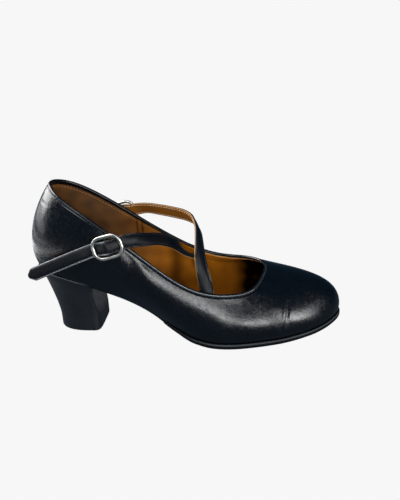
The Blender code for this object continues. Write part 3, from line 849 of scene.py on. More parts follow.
class SHOE_OT_upper(bpy.types.Operator):
    """Builds the black upper with its creases and the bound topline"""

    bl_idname = "shoe.upper"
    bl_label = "Upper"

    def execute(self, context):
        sizes = context.scene.shoe_sizes
        wall = Wall(UPPER_RIBS)
        low = to_row(wall.grid.reshape(-1, 3)).min(axis=0)
        if np.abs(low - np.array(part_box("upper")[0])).max() > TABLE_TOLERANCE * MM:
            raise RuntimeError("the upper's table doesn't match the packed upper")
        turn = turned_in(sizes, wall)
        outer = BAND_TOP + (wall.height - BAND_TOP) * np.linspace(1.0, 0.0, OUTER_STATIONS)
        over_sole = wall.height - outer
        place, _ = wall.read(outer)
        lift = crease_relief(wall, place.reshape(-1, 3)).reshape(outer.shape) * sizes.crease
        lift *= smooth_step(0.0, FOLDS_BELOW_ROLL, outer - BAND_TOP)
        lift *= smooth_step(0.0, FOLDS_ABOVE_SOLE, over_sole)
        lift -= FEATHER_ROUND * smooth_step(FEATHER_WIDTH, 0.0, over_sole) ** 2
        edge = np.array(BAND)
        roll = np.repeat(edge[None], UPPER_RIBS, axis=0)
        inner = turn + (wall.height - turn) * np.linspace(INNER_START, 1.0, INNER_STATIONS)
        below = (outer, roll[..., 0], turn, turn + BINDING_STEP, inner)
        inset = [-lift, roll[..., 1], np.full_like(turn, BINDING_INSIDE)]
        inset += [np.full_like(inside, LEATHER_THICKNESS) for inside in (turn, inner)]
        points = wall.at_depth(np.concatenate(below, axis=1), np.concatenate(inset, axis=1))
        faces = grid_faces(*points.shape[:2], True)
        # Painted highlight: a pale stripe on the roll's outside, full along the sides, faint at the back
        # and throat's front.
        highlight_stripe = between(ROLL_HIGHLIGHT, edge[:, 0]) * (edge[:, 1] < ROLL_OUTSIDE)
        along = wall.grid[:, :1, 0]
        most = smooth_step(*HIGHLIGHT_GROWS, along) * (1.0 - HIGHLIGHT_LOSS * smooth_step(*HIGHLIGHT_FADES, along))
        rubbed = np.zeros(points.shape[:2])
        on_roll = slice(OUTER_STATIONS, OUTER_STATIONS + len(edge))
        rubbed[:, on_roll] = highlight_stripe * (HIGHLIGHT_LEAST + (1.0 - HIGHLIGHT_LEAST) * most)
        calf = finish("polished_black_calf", context.scene.shoe_colours)
        stains = {"rubbed": rubbed.ravel()}
        made = add_piece("upper_leather", points.reshape(-1, 3), faces, [calf], stains=stains)
        settle(made, "black_calf", "upper")
        return {"FINISHED"}


def lining_relief(place, below):
    """Height of the lining's seam tape and the stay along the throat over its plain face, in mm."""
    tape = between(SEAM_TAPE, place[..., 0]) * smooth_step(TAPE_LENGTH, TAPE_LENGTH - TAPE_END, below)
    stay = between(STAY_ALONG, place[..., 0])
    stay *= smooth_step(STAY_WIDTH + STAY_EDGE, STAY_WIDTH - STAY_EDGE, below)
    height, size = LINING_UNEVEN
    return TAPE_HEIGHT * tape + STAY_HEIGHT * stay + height * clouds(place, size)


def lining_shade_and_stains(place, below):
    """Painted shade and sheen on the lining, with its uneven tone: grey at the back, black in the toe, dark
    along edges.
    """
    along = place[..., 0]
    inner_side = smooth_step(*INNER_SIDE, place[..., 1])
    share, size = STAIN_CLOUDS
    uneven = share * clouds(place, size)
    # Painted shade with a greyish painted sheen at the back.
    back = BACK_SHADE_AND_SHEEN * smooth_step(*BACK_SHADE_ALONG, along)
    # Painted shade that makes the toe black.
    toe = TOE_SHADE * smooth_step(*TOE_SHADE_ALONG, along)
    # Painted shade along the seam tape's two edges.
    seam = TAPE_EDGE_SHADE * sum(bump(along, line, TAPE_EDGE_WIDTH) for line in TAPE_EDGE_LINES)
    seam *= smooth_step(TAPE_LENGTH, TAPE_LENGTH - TAPE_END, below)
    # Painted shadow of the strap on the inner wall.
    strap_shadow = STRAP_SHADOW * bump(along, *STRAP_SHADOW_PLACE) * inner_side
    # Painted shade along the stay's edge on the inner side.
    stay_shade = STAY_EDGE_SHADE * bump(below, STAY_WIDTH - STAY_EDGE, STAY_SHADE_WIDTH) * inner_side
    stay_shade *= smooth_step(*STAY_SHADE_ALONG, along)
    # The deepest painted shade at each point.
    dark = np.maximum.reduce((BACK_SHADE_SHARE * back, toe, seam, strap_shadow, stay_shade))
    return {
        "dust": np.clip(back + uneven * back, 0.0, 1.0).ravel(),
        "soil": np.clip(dark + uneven, 0.0, 1.0).ravel(),
    }


class SHOE_OT_lining(bpy.types.Operator):
    """Builds the tan lining inside the upper and the sock on the insole"""

    bl_idname = "shoe.lining"
    bl_label = "Lining and sock"

    def execute(self, context):
        names = ("vegetable_tan_lining", "raw_leather_edge", "waxed_sole_edge")
        finishes = [finish(name, context.scene.shoe_colours) for name in names]
        wall = Wall(LINING_RIBS)
        top = turned_in(context.scene.shoe_sizes, wall) + LINING_DROP
        lip = LINING_LIP * smooth_step(*LIP_GROWS, wall.grid[:, :1, 0])
        back = top + (wall.height - top) * np.linspace(1.0, 0.0, INNER_STATIONS)
        start = top + LIP_HEIGHT
        front = start + (wall.height - start) * np.linspace(0.0, FACE_SHARE, LINING_STATIONS)
        place, _ = wall.read(front)
        bulge = LIP_BELOW * lip * np.exp((start - front) / LIP_FADE)
        face = LINING_FACE + lining_relief(place, front) + bulge
        margin = np.full_like(top, LINING_FACE + LINING_MARGIN)
        below = [back, *(top + drop for drop, _, _ in LINING_EDGE)]
        below += [front, wall.height - MARGIN_THICKNESS, wall.height]
        inset = [np.full_like(back, LINING_BACK)]
        inset += [LINING_FACE + step + share * lip for _, step, share in LINING_EDGE]
        below = np.concatenate(below, axis=1)
        points = wall.at_depth(below, np.concatenate([*inset, face, margin, margin], axis=1))
        rows, columns = points.shape[:2]
        faces = grid_faces(rows, columns, True)
        shows = wall.grid[:, 0, 0] > RAW_EDGE_FROM
        parts = [self.lining_finish(i % columns, columns, shows[i // columns]) for i in range(len(faces))]
        # Painted shade and sheen on the lining, with its uneven tone.
        stains = lining_shade_and_stains(points, below)
        made = add_piece("lining", points.reshape(-1, 3), faces, finishes, parts, stains=stains)
        settle(made, "tan_lining_leather")
        self.add_sock(finishes[0], finishes[2])
        return {"FINISHED"}

    def lining_finish(self, column, columns, edge_shows):
        """Tan inside, raw at the cut edge, and inked black on the glued back and the margin below."""
        if column < INNER_STATIONS - 1 or column >= columns - 2:
            return 2
        return int(edge_shows and column < INNER_STATIONS + 2)

    def add_sock(self, tan, inked):
        """The sock: a tan sheet with rolled edges that fills the foot bed, on its inked board."""
        points, faces = plate(-SOCK_INSET, SOCK_EDGE, foot_bed, lambda x: foot_bed(x) + SOCK_THICKNESS)
        points = np.array(points)
        # The sock takes the lining's painted shade at the back, in the toe and in the strap's shadow.
        stains = lining_shade_and_stains(points, np.full(len(points), 2.0 * TAPE_LENGTH))
        heights = points[:, 2] - foot_bed(points[:, 0])
        board = [int(heights[list(face)].max() < BOARD_SHARE * SOCK_THICKNESS) for face in faces]
        made = add_piece("insole_sock", points, faces, [tan, inked], board, stains=stains)
        settle(made, "tan_lining_leather", "insole")


def plate(grow, edge, under, over):
    """Points and faces of a bent plate whose outline follows the foot; edge is its rounded rim."""
    rib = rib_values(PLATE_POINTS)
    plan = np.column_stack((rib.foot_x, rib.foot_y))
    out = outward(plan)
    points = []
    for move, share in edge:
        ring = plan + out * (np.reshape(grow, (-1, 1)) + move)
        low = under(ring[:, 0])
        points.extend(np.column_stack((ring, low + share * (over(ring[:, 0]) - low))))
    faces = grid_faces(len(edge), PLATE_POINTS, False)
    last = (len(edge) - 1) * PLATE_POINTS
    for first, height in ((0, under), (last, over)):
        before = len(points)
        faces += close_ring(points, first, PLATE_POINTS)
        for i in range(before, len(points)):
            points[i][2] = height(points[i][0])
    return points, faces


class SHOE_OT_sole(bpy.types.Operator):
    """Builds the outsole with its waxed edge and buffed tread"""

    bl_idname = "shoe.sole"
    bl_label = "Outsole"

    def execute(self, context):
        colours = context.scene.shoe_colours
        edge = rib_values(PLATE_POINTS).edge
        points, faces = plate(edge - SEAT_RECESS * (edge < 0.0), SOLE_EDGE, sole_under, sole_over)
        along = np.array(points)[:, 0]
        heights = np.array(points)[:, 2] - sole_under(along)
        tread = [int(heights[list(face)].max() < TREAD_HEIGHT) for face in faces]
        finishes = [finish("waxed_sole_edge", colours), finish("buffed_tread", colours)]
        # Painted highlight along the edge's upper corner, growing towards the forepart.
        first, last = SOLE_HIGHLIGHT_ROWS
        rubbed = SOLE_HIGHLIGHT * smooth_step(*SOLE_HIGHLIGHT_GROWS, along)
        rubbed[: first * PLATE_POINTS] = 0.0
        rubbed[last * PLATE_POINTS :] = 0.0
        made = add_piece("outsole_leather", points, faces, finishes, tread, stains={"rubbed": rubbed})
        settle(made, "black_sole_leather", "outsole")
        return {"FINISHED"}


def rounded(wave, power):
    """A sine or cosine pushed out towards the corners of a square by a power below one."""
    return np.sign(wave) * np.abs(wave) ** power


def heel_ring(height, angle, grow):
    """Points of the heel's D-shaped loop at the given heights and angles, moved out by `grow`."""
    heights, *columns = np.array(HEEL_SECTIONS).T
    back, breast, half_width, hollow, squareness = (monotone(heights, column, height) for column in columns)
    middle = breast - BREAST_SHARE * (breast - back)
    ahead = np.cos(angle) > 0.0
    power = 2.0 / np.where(ahead, squareness, HEEL_BACK_ROUNDNESS)
    lengthwise = rounded(np.cos(angle), power)
    across = rounded(np.sin(angle), power)
    reach = np.where(ahead, breast - middle, middle - back)
    scoop = hollow * np.maximum(lengthwise, 0.0) * (1.0 - across**2)
    scoop *= 1.0 - ARCH_LIP * smooth_step(*ARCH, height)
    plan = np.column_stack((middle + reach * lengthwise - scoop, half_width * across))
    plan += outward(plan[::-1])[::-1] * np.reshape(grow, (-1, 1))
    return np.column_stack((plan, height))


# Rim of the heel cover, which stands up round the sole's seat: distance below the seat, share of the
# rim's rise, and how far it flares out. The rise leaves a slit under the upper that closes forward.
HEEL_RIM = (
    (5.4, 0.0, 0.05), (4.0, 0.0, 0.16), (2.6, 0.0, 0.36), (1.3, 0.0, 0.64), (0.1, 0.1, 0.95),
    (0.0, 0.55, 1.16), (0.0, 0.9, 1.26), (0.0, 0.98, 1.16), (0.0, 1.0, 0.9), (0.0, 0.9, 0.55),
    (0.0, 0.05, 0.3), (0.02, 0.0, 0.0),
)
RIM_RISE = 1.7
RIM_RISE_FRONT = 2.7
RIM_CLOSES = (41.0, 52.0)

# The rim lies flat across the breast: cosines between which it comes up beside it, and its share there.
RIM_BESIDE = (0.85, 0.55)
RIM_LEAST = 0.03

# How much a painted highlight makes the rim's upper part pale, where along the shoe, and from which
# share of the rise.
RIM_HIGHLIGHT = 0.4
RIM_HIGHLIGHT_ALONG = (48.0, 40.0)
RIM_HIGHLIGHT_FROM = 0.5

# Rounded edge of the heel's bottom: height, and how far it is moved out.
HEEL_FOOT = ((0.0, -1.2), (0.12, -0.75), (0.4, -0.35), (0.8, -0.1))

# Height where the plain sides start, and how far below the seat they end.
SIDES_FROM = 1.3
SIDES_BELOW_SEAT = 7.0

# First guess of the seat's height, and how often it is improved.
SEAT_GUESS = 46.0
SEAT_ROUNDS = 20


class SHOE_OT_heel(bpy.types.Operator):
    """Builds the covered heel up to the sole's seat"""

    bl_idname = "shoe.heel"
    bl_label = "Heel"

    def execute(self, context):
        colours = context.scene.shoe_colours
        angle = np.linspace(0.0, 2.0 * np.pi, HEEL_POINTS, endpoint=False)
        top = np.full(HEEL_POINTS, SEAT_GUESS)
        for _ in range(SEAT_ROUNDS):
            top = 0.5 * (top + sole_under(heel_ring(top, angle, 0.0)[:, 0]) - GAP)
        points = []
        for height, grow in HEEL_FOOT:
            points.extend(heel_ring(np.full(HEEL_POINTS, height), angle, grow))
        for share in np.linspace(0.0, 1.0, HEEL_STATIONS):
            height = SIDES_FROM + share * (top - SIDES_BELOW_SEAT - SIDES_FROM)
            points.extend(heel_ring(height, angle, 0.0))
        beside = RIM_LEAST + (1.0 - RIM_LEAST) * smooth_step(*RIM_BESIDE, np.cos(angle))
        along = heel_ring(top, angle, 0.0)[:, 0]
        rise = RIM_RISE + (RIM_RISE_FRONT - RIM_RISE) * smooth_step(*RIM_CLOSES, along)
        # Painted highlight on the upper part of the rim, at the back of the heel.
        rubbed = [0.0] * len(points)
        paled = RIM_HIGHLIGHT * smooth_step(*RIM_HIGHLIGHT_ALONG, along)
        for drop, lift, grow in HEEL_RIM:
            points.extend(heel_ring(top - drop + lift * rise * beside, angle, grow * beside))
            rubbed.extend(paled * (lift > RIM_HIGHLIGHT_FROM))
        rings = len(points) // HEEL_POINTS
        faces = grid_faces(rings, HEEL_POINTS, False)
        sides = len(faces)
        faces += close_ring(points, 0, HEEL_POINTS)
        floor_side = len(faces)
        faces += close_ring(points, (rings - 1) * HEEL_POINTS, HEEL_POINTS)
        under = [int(i < HEEL_POINTS or sides <= i < floor_side) for i in range(len(faces))]
        finishes = [finish("satin_heel_calf", colours), finish("buffed_tread", colours)]
        rubbed.extend([0.0] * (len(points) - len(rubbed)))
        made = add_piece("heel_cover", points, faces, finishes, under, stains={"rubbed": rubbed})
        settle(made, "black_calf", "heel")
        return {"FINISHED"}


def buckle_axes(hold):
    """Middle of a buckle, and its unit directions along the strap, across it and out of the frame."""
    along = unit(np.array(BUCKLE_SLOPE))
    across = unit(np.cross(np.array(hold[3:]), along))
    return np.array(hold[:3]), along, across, np.cross(along, across)


def strap_frames(holds, buckle, tail):
    """Places along one strap through its buckle, with directions across it and out of its face."""
    centre, along, _, face = buckle_axes(buckle)
    way = [(*(centre + move * along + lift * face), *face) for move, lift in BUCKLE_PASS]
    line = open_curve([*holds, *way, *tail], STRAP_SECTIONS)
    middle = line[:, :3]
    forward = unit(np.gradient(middle, axis=0))
    width = unit(np.cross(forward, line[:, 3:]))
    return middle, width, np.cross(width, forward)


def tip_width(middle):
    """Share of the strap's full width at each place: the free end narrows to a blunt point."""
    to_tip = np.linalg.norm(middle - middle[-1], axis=1)
    return TIP_SHARE + (1.0 - TIP_SHARE) * np.minimum(to_tip / TIP_LENGTH, 1.0)


def strap_points(frames, half):
    """A band swept along the strap's places from its half section, mirrored about its middle."""
    middle, width, face = frames
    share = tip_width(middle)[:, None]
    section = [(-u, v) for u, v in half[:0:-1]] + list(half)
    rings = [middle + width * u * share + face * v for u, v in section]
    return np.stack(rings, axis=1)


STRAPS = (
    ("lateral", STRAP_LATERAL, BUCKLE_LATERAL, TAIL_LATERAL),
    ("medial", STRAP_MEDIAL, BUCKLE_MEDIAL, TAIL_MEDIAL),
)


class SHOE_OT_straps(bpy.types.Operator):
    """Builds the two instep straps, black outside and tan inside"""

    bl_idname = "shoe.straps"
    bl_label = "Straps"

    def execute(self, context):
        colours = context.scene.shoe_colours
        names = ("strap_calf", "creased_strap_rim", "vegetable_tan_lining", "raw_leather_edge")
        black, rim, tan, raw = (finish(name, colours) for name in names)
        turns = 2 * len(STRAP_OUTER) - 1
        columns = 2 * len(STRAP_LINING) - 1
        face_from = sum(u > STITCH_ROW for u, _ in STRAP_OUTER)
        for side, holds, buckle, tail in STRAPS:
            name = "strap_" + side
            frames = strap_frames(holds, buckle, tail)
            points, faces = self.sweep(frames, STRAP_OUTER)
            rims = [int(not face_from <= i % turns < turns - 1 - face_from) for i in range(len(faces))]
            past_buckle = np.argmin(np.linalg.norm(frames[0] - buckle[:3], axis=1))
            on_tail = np.repeat(np.arange(STRAP_SECTIONS) > past_buckle, turns)
            # Painted highlight on the rims past the buckle, on the free end.
            paled = {"rubbed": TAIL_HIGHLIGHT * on_tail}
            outer = add_piece(name + "_leather", points, faces, [black, rim], rims, STRAP_CRISP, paled)
            settle(outer, "black_calf", name)
            points, faces = self.sweep(frames, STRAP_LINING)
            before = np.arange(len(faces)) // columns < past_buckle
            cut = [self.lining_finish(before[i], i % columns, columns) for i in range(len(faces))]
            worn = {stain: np.full(len(points), amount) for stain, amount in STRAP_WEAR}
            inner = add_piece(name + "_lining", points, faces, [tan, raw, black], cut, STRAP_CRISP, worn)
            settle(inner, "tan_lining_leather")
        return {"FINISHED"}

    def lining_finish(self, before_buckle, column, columns):
        """Tan inside, raw at the cut edges, and black at the edges of the tail."""
        if 0 < column < columns - 2:
            return 0
        return 1 if before_buckle else 2

    def sweep(self, frames, half):
        """Points of a swept band, and faces that skin it and close its two ends."""
        points = strap_points(frames, half)
        rows, columns = points.shape[:2]
        faces = grid_faces(rows, columns, False)
        faces.append(tuple(range(columns)))
        faces.append(tuple(range((rows - 1) * columns, rows * columns)))
        return points.reshape(-1, 3), faces


class SHOE_OT_buckles(bpy.types.Operator):
    """Builds the two nickel buckles with their middle bars"""

    bl_idname = "shoe.buckles"
    bl_label = "Buckles"

    def execute(self, context):
        colours = context.scene.shoe_colours
        finishes = [finish("tumbled_nickel", colours), finish("strap_calf", colours)]
        points, faces = self.frame_points()
        ring = len(faces)
        self.add_bar(points, faces)
        wrapped = [int(i >= ring) for i in range(len(faces))]
        for side, _, hold, _ in STRAPS:
            centre, along, across, face = buckle_axes(hold)
            placed = centre + np.array(points) @ np.array((along, across, face))
            made = add_piece("buckle_" + side + "_frame", placed, faces, finishes, wrapped, BUCKLE_CRISP)
            settle(made, "polished_nickel", "buckle_" + side)
        return {"FINISHED"}

    def frame_points(self):
        """The wire's section swept round a rounded rectangle, flat in its own plane."""
        reach = (BUCKLE_LENGTH - BUCKLE_WIRE) / 2.0 - BUCKLE_CORNER
        rise = (BUCKLE_HEIGHT - BUCKLE_WIRE) / 2.0 - BUCKLE_CORNER
        points = []
        for corner, (right, top) in enumerate(((1, 1), (-1, 1), (-1, -1), (1, -1))):
            for angle in np.linspace(corner, corner + 1.0, CORNER_POINTS) * np.pi / 2.0:
                out = np.array((np.cos(angle), np.sin(angle), 0.0))
                bend = np.array((right * reach, top * rise, 0.0)) + BUCKLE_CORNER * out
                points.extend(bend + out * move + (0.0, 0.0, lift) for move, lift in self.wire_section())
        return points, grid_faces(4 * CORNER_POINTS, WIRE_SIDES, True)

    def wire_section(self):
        """Points round the wire: away from the middle of the frame, out of its plane."""
        angle = np.linspace(0.0, 2.0 * np.pi, WIRE_SIDES, endpoint=False)
        power = 2.0 / WIRE_SQUARENESS
        move = WIRE_HALF_WIDTH * rounded(np.cos(angle), power)
        return np.column_stack((move, WIRE_HALF_THICKNESS * rounded(np.sin(angle), power)))

    def add_bar(self, points, faces):
        """Adds the round bar across the middle of the frame, which is wrapped in black leather."""
        first = len(points)
        half = (BUCKLE_HEIGHT - BUCKLE_WIRE) / 2.0
        for reach in (-half, half):
            for angle in np.linspace(0.0, 2.0 * np.pi, BAR_SIDES, endpoint=False):
                radius = BUCKLE_BAR / 2.0
                points.append(np.array((radius * np.cos(angle), reach, radius * np.sin(angle))))
        skin = grid_faces(2, BAR_SIDES, False)
        faces.extend(tuple(first + i for i in face) for face in skin)
        faces.append(tuple(range(first, first + BAR_SIDES)))
        faces.append(tuple(range(first + BAR_SIDES, first + 2 * BAR_SIDES)))


def stitch_tree(name, thread):
    """Geometry Nodes that lay a rice-shaped stitch at each step along the paths of a wire mesh."""
    tree = bpy.data.node_groups.new(name, "GeometryNodeTree")
    tree.interface.new_socket("Geometry", in_out="INPUT", socket_type="NodeSocketGeometry")
    for label in ("Spacing", "Length", "Thickness"):
        tree.interface.new_socket(label, in_out="INPUT", socket_type="NodeSocketFloat")
    tree.interface.new_socket("Geometry", in_out="OUTPUT", socket_type="NodeSocketGeometry")
    given = add_node(tree, "NodeGroupInput", {}, {}).outputs
    path = add_node(tree, "GeometryNodeMeshToCurve", {}, {"Mesh": given["Geometry"]})
    spaced = {"Curve": path.outputs["Curve"], "Length": given["Spacing"]}
    steps = add_node(tree, "GeometryNodeCurveToPoints", {"mode": "LENGTH"}, spaced).outputs
    turn = add_node(tree, "FunctionNodeAlignRotationToVector", {"axis": "Z"}, {"Vector": steps["Tangent"]})
    grain = add_node(tree, "GeometryNodeMeshUVSphere", {"Segments": 8, "Rings": 5, "Radius": 0.5}, {})
    sides = {"X": given["Thickness"], "Y": given["Thickness"], "Z": given["Length"]}
    size = add_node(tree, "ShaderNodeCombineXYZ", {}, sides)
    placed = {
        "Points": steps["Points"],
        "Instance": grain.outputs["Mesh"],
        "Rotation": turn.outputs["Rotation"],
        "Scale": size.outputs["Vector"],
    }
    sewn = add_node(tree, "GeometryNodeInstanceOnPoints", {}, placed).outputs["Instances"]
    for kind, settings in (
        ("GeometryNodeRealizeInstances", {}),
        ("GeometryNodeSetShadeSmooth", {}),
        ("GeometryNodeSetMaterial", {"Material": thread}),
    ):
        sewn = add_node(tree, kind, settings, {"Geometry": sewn}).outputs["Geometry"]
    add_node(tree, "NodeGroupOutput", {}, {"Geometry": sewn})
    return tree


def add_stitches(name, paths, thread, sizes, slot):
    """One piece of stitches along the given paths; a path is its points and whether it closes."""
    points = []
    edges = []
    for path, closed in paths:
        first = len(points)
        points.extend(to_row(path).tolist())
        edges.extend((i, i + 1) for i in range(first, len(points) - 1))
        if closed:
            edges.append((len(points) - 1, first))
    wire = bpy.data.meshes.new(name + "_path")
    wire.from_pydata(points, edges, [])
    guide = add_object(name + "_path", wire)
    tree = stitch_tree(name, thread)
    sewing = guide.modifiers.new("Stitches", "NODES")
    sewing.node_group = tree
    given = {"Spacing": sizes.stitch_spacing, "Length": sizes.stitch_length, "Thickness": sizes.thread}
    for socket in tree.interface.items_tree:
        if socket.in_out == "INPUT" and socket.name in given:
            sewing[socket.identifier] = given[socket.name]
    graph = bpy.context.evaluated_depsgraph_get()
    mesh = bpy.data.meshes.new_from_object(guide.evaluated_get(graph))
    mesh.name = name
    if len(mesh.polygons) == 0:
        raise RuntimeError("no stitches were laid for " + name)
    guide.modifiers.remove(sewing)
    bpy.data.objects.remove(guide)
    settle(add_object(name, mesh), slot)


class SHOE_OT_stitches(bpy.types.Operator):
    """Sews the topline, the lining's upper edge and the straps"""

    bl_idname = "shoe.stitches"
    bl_label = "Stitches"

    def execute(self, context):
        sizes = context.scene.shoe_sizes
        names = ("black_thread", "cream_thread", "brown_thread")
        black, cream, brown = (finish(name, context.scene.shoe_colours) for name in names)
        wall = Wall(UPPER_RIBS)
        ones = np.ones((UPPER_RIBS, 1))
        below, inset = GROOVE
        topline = wall.at_depth(ones * below, ones * inset)[:, 0]
        add_stitches("topline_stitches", [(topline, True)], black, sizes, "black_calf")
        behind = wall.grid[:, 0, 0] < LINING_ROW_TO
        under = turned_in(sizes, wall) + LINING_ROW
        lined = wall.at_depth(under, ones * (LINING_FACE + LINING_ROW_PROUD))[behind, 0]
        add_stitches("lining_stitches", [(lined, False)], brown, sizes, "tan_lining_leather")
        outer = []
        inner = []
        for _, holds, buckle, tail in STRAPS:
            middle, width, face = strap_frames(holds, buckle, tail)
            inside = slice(SEWN_FROM, len(middle) - SEWN_SHORT_OF_TIP)
            for across in (-STITCH_ROW, STITCH_ROW):
                outer.append(((middle + width * across + face * STITCH_OVER)[inside], False))
                inner.append(((middle + width * across - face * STITCH_UNDER)[inside], False))
        add_stitches("strap_outer_stitches", outer, black, sizes, "black_calf")
        add_stitches("strap_inner_stitches", inner, cream, sizes, "tan_lining_leather")
        return {"FINISHED"}


# Softboxes that face the shoe: azimuth and elevation in degrees, where azimuth 0 is in front of the outer
# side and 90 ahead of the toe; width and height in metres; radiance.
SOFTBOXES = (
    ("back_panel", -106.0, 34.0, 0.7, 0.84, 9.0),
    ("back_card", -100.0, 4.0, 0.8, 0.15, 1.8),
    ("high_card", -30.0, 45.0, 0.5, 0.3, 8.0),
    ("low_left_box", 5.0, 4.0, 0.13, 0.2, 4.5),
    ("front_left_box", 6.5, 14.5, 0.23, 0.28, 9.0),
    ("front_box", 29.0, 7.5, 0.42, 0.19, 10.0),
    ("toe_box", 57.0, 9.0, 0.29, 0.25, 13.0),
)
SOFTBOX_DISTANCE = 0.95
SOFTBOX_AIM = (0.1, 0.0, 0.045)

# Bright parts of the floor as the shoe sees them, far less than the exposed white of the picture:
# middle, width along X and Y, radiance.
FLOOR_CARDS = (
    ("floor_card", 0.1, 0.0, 2.4, 2.4, 0.055),
    ("floor_behind", -0.36, 0.1, 0.45, 0.7, 4.0),
)
FLOOR_CARD_HEIGHT = 0.0005

# Light that bounces off the floor on the inner side of the waist into the heel's hollow breast: width and
# height, radiance, place it faces, azimuth and elevation, distance.
BOUNCE_SIZE = (0.045, 0.018)
BOUNCE_RADIANCE = 0.8
BOUNCE_AIM = (0.02, 0.0, 0.022)
BOUNCE_ANGLES = (145.0, -8.0)
BOUNCE_DISTANCE = 0.055

# Light on the lining from above, without a reflection on the polished leather.
FILL_SIZE = (0.8, 0.8)
FILL_RADIANCE = 0.6
FILL_PLACE = (0.1, -0.1, 0.9)

# Floor and dome of the stage, the rays that don't meet them, and the dim glow round the shoe.
FLOOR_SHAPE = {"cap_ends": True, "segments": 96, "radius": 3.0}
DOME_SHAPE = {"u_segments": 64, "v_segments": 32, "radius": 2.9}
UNSEEN_BY = ("visible_glossy", "visible_diffuse", "visible_transmission", "visible_shadow")
STUDIO_GLOW = (0.012, 0.04, 0.07, 1.0)


def add_area_light(name, width, height, radiance):
    """A rectangular light of even brightness that the camera doesn't see."""
    light = bpy.data.lights.new(name, "AREA")
    light.shape = "RECTANGLE"
    light.size = width
    light.size_y = height
    light.energy = radiance * math.pi * width * height
    made = add_object(name, light)
    made.visible_camera = False
    return made


def direction(azimuth, elevation):
    """Unit vector from the shoe; azimuth 0 is in front of the outer side, 90 ahead of the toe."""
    turn = math.radians(azimuth)
    climb = math.radians(elevation)
    return Vector((math.sin(turn) * math.cos(climb), -math.cos(turn) * math.cos(climb), math.sin(climb)))


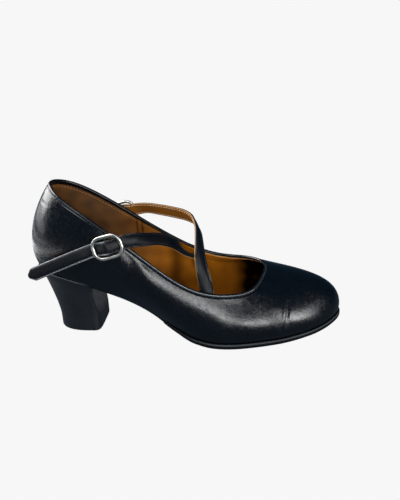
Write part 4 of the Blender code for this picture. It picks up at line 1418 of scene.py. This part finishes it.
class SHOE_OT_stage(bpy.types.Operator):
    """Sets up the pale floor and backdrop, the softboxes and the camera"""

    bl_idname = "shoe.stage"
    bl_label = "Stage"

    def execute(self, context):
        scene = context.scene
        scene.view_settings.view_transform = "Standard"
        backdrop = scene.shoe_colours.backdrop
        self.add_surround("floor", backdrop, bmesh.ops.create_circle, FLOOR_SHAPE)
        self.add_surround("backdrop", backdrop, bmesh.ops.create_uvsphere, DOME_SHAPE)
        self.add_world(scene)
        for name, azimuth, elevation, width, height, radiance in SOFTBOXES:
            light = add_area_light(name, width, height, radiance)
            self.aim(light, SOFTBOX_AIM, direction(azimuth, elevation) * SOFTBOX_DISTANCE)
        for name, x, y, width, depth, radiance in FLOOR_CARDS:
            light = add_area_light(name, width, depth, radiance)
            light.location = (x, y, FLOOR_CARD_HEIGHT)
            light.rotation_euler = (math.pi, 0.0, 0.0)
        bounce = add_area_light("breast_bounce", *BOUNCE_SIZE, BOUNCE_RADIANCE)
        self.aim(bounce, BOUNCE_AIM, direction(*BOUNCE_ANGLES) * BOUNCE_DISTANCE)
        fill = add_area_light("lining_fill", *FILL_SIZE, FILL_RADIANCE)
        fill.location = FILL_PLACE
        fill.visible_glossy = False
        self.add_camera(scene)
        return {"FINISHED"}

    def add_surround(self, name, colour, shape, sizes):
        """The floor or the dome over it, which the camera sees and which doesn't light the shoe."""
        mesh = bpy.data.meshes.new(name)
        build = bmesh.new()
        shape(build, **sizes)
        build.to_mesh(mesh)
        build.free()
        # Floor and backdrop of a light tent: an even glow, the same from every side.
        pale = bpy.data.materials.new("pale_" + name)
        pale.use_nodes = True
        tree = pale.node_tree
        tree.nodes.remove(tree.nodes["Principled BSDF"])
        glow = add_node(tree, "ShaderNodeEmission", {"Color": colour, "Strength": 1.0}, {})
        tree.links.new(glow.outputs["Emission"], tree.nodes["Material Output"].inputs["Surface"])
        mesh.materials.append(pale)
        made = add_object(name, mesh)
        for ray in UNSEEN_BY:
            setattr(made, ray, False)

    def aim(self, light, target, away):
        """Puts a light at `away` from its target, facing it."""
        light.location = Vector(target) + away
        light.rotation_mode = "QUATERNION"
        light.rotation_quaternion = away.to_track_quat("Z", "Y")

    def add_world(self, scene):
        world = bpy.data.worlds.new("studio")
        world.use_nodes = True
        sky = world.node_tree.nodes["Background"]
        sky.inputs["Color"].default_value = STUDIO_GLOW
        sky.inputs["Strength"].default_value = 1.0
        scene.world = world

    def add_camera(self, scene):
        data = bpy.data.cameras.new("photo_camera")
        data.sensor_fit = "AUTO"
        data.sensor_width = SENSOR
        data.lens = FOCAL_PIXELS * SENSOR / PHOTO_HEIGHT
        data.shift_x = (PHOTO_WIDTH / 2.0 - CENTRE_PIXEL[0]) / PHOTO_HEIGHT
        data.shift_y = (CENTRE_PIXEL[1] - PHOTO_HEIGHT / 2.0) / PHOTO_HEIGHT
        data.clip_start, data.clip_end = CAMERA_SEES
        camera = add_object("photo_camera", data)
        back = direction(CAMERA_AZIMUTH, CAMERA_ELEVATION)
        right = (-back).cross(Vector((0.0, 0.0, 1.0))).normalized()
        level = Matrix((right, back.cross(right), back)).transposed()
        tilt = Matrix.Rotation(math.radians(CAMERA_ROLL), 3, "Z")
        camera.matrix_world = Matrix.Translation(CAMERA_PLACE) @ (level @ tilt).to_4x4()
        scene.camera = camera


BUILDERS = (
    SHOE_OT_upper,
    SHOE_OT_lining,
    SHOE_OT_sole,
    SHOE_OT_heel,
    SHOE_OT_straps,
    SHOE_OT_buckles,
    SHOE_OT_stitches,
    SHOE_OT_stage,
)


class SHOE_PT_panel(bpy.types.Panel):
    """Lists the shoe's sizes, colours and building steps"""

    bl_idname = "SHOE_PT_panel"
    bl_label = "Flamenco shoe"
    bl_space_type = "VIEW_3D"
    bl_region_type = "UI"
    bl_category = "Shoe"

    def draw(self, context):
        for group in (context.scene.shoe_sizes, context.scene.shoe_colours):
            box = self.layout.box()
            for name in group.__annotations__:
                box.prop(group, name)
        for builder in BUILDERS:
            self.layout.operator(builder.bl_idname)


CLASSES = (ShoeSizes, ShoeColours, *BUILDERS, SHOE_PT_panel)


def register():
    for kind in CLASSES:
        bpy.utils.register_class(kind)
    bpy.types.Scene.shoe_sizes = PointerProperty(type=ShoeSizes)
    bpy.types.Scene.shoe_colours = PointerProperty(type=ShoeColours)


def unregister():
    del bpy.types.Scene.shoe_colours
    del bpy.types.Scene.shoe_sizes
    for kind in reversed(CLASSES):
        bpy.utils.unregister_class(kind)


def main():
    register()
    bpy.ops.shoe.upper()
    bpy.ops.shoe.lining()
    bpy.ops.shoe.sole()
    bpy.ops.shoe.heel()
    bpy.ops.shoe.straps()
    bpy.ops.shoe.buckles()
    bpy.ops.shoe.stitches()
    bpy.ops.shoe.stage()


if __name__ == "__main__":
    main()
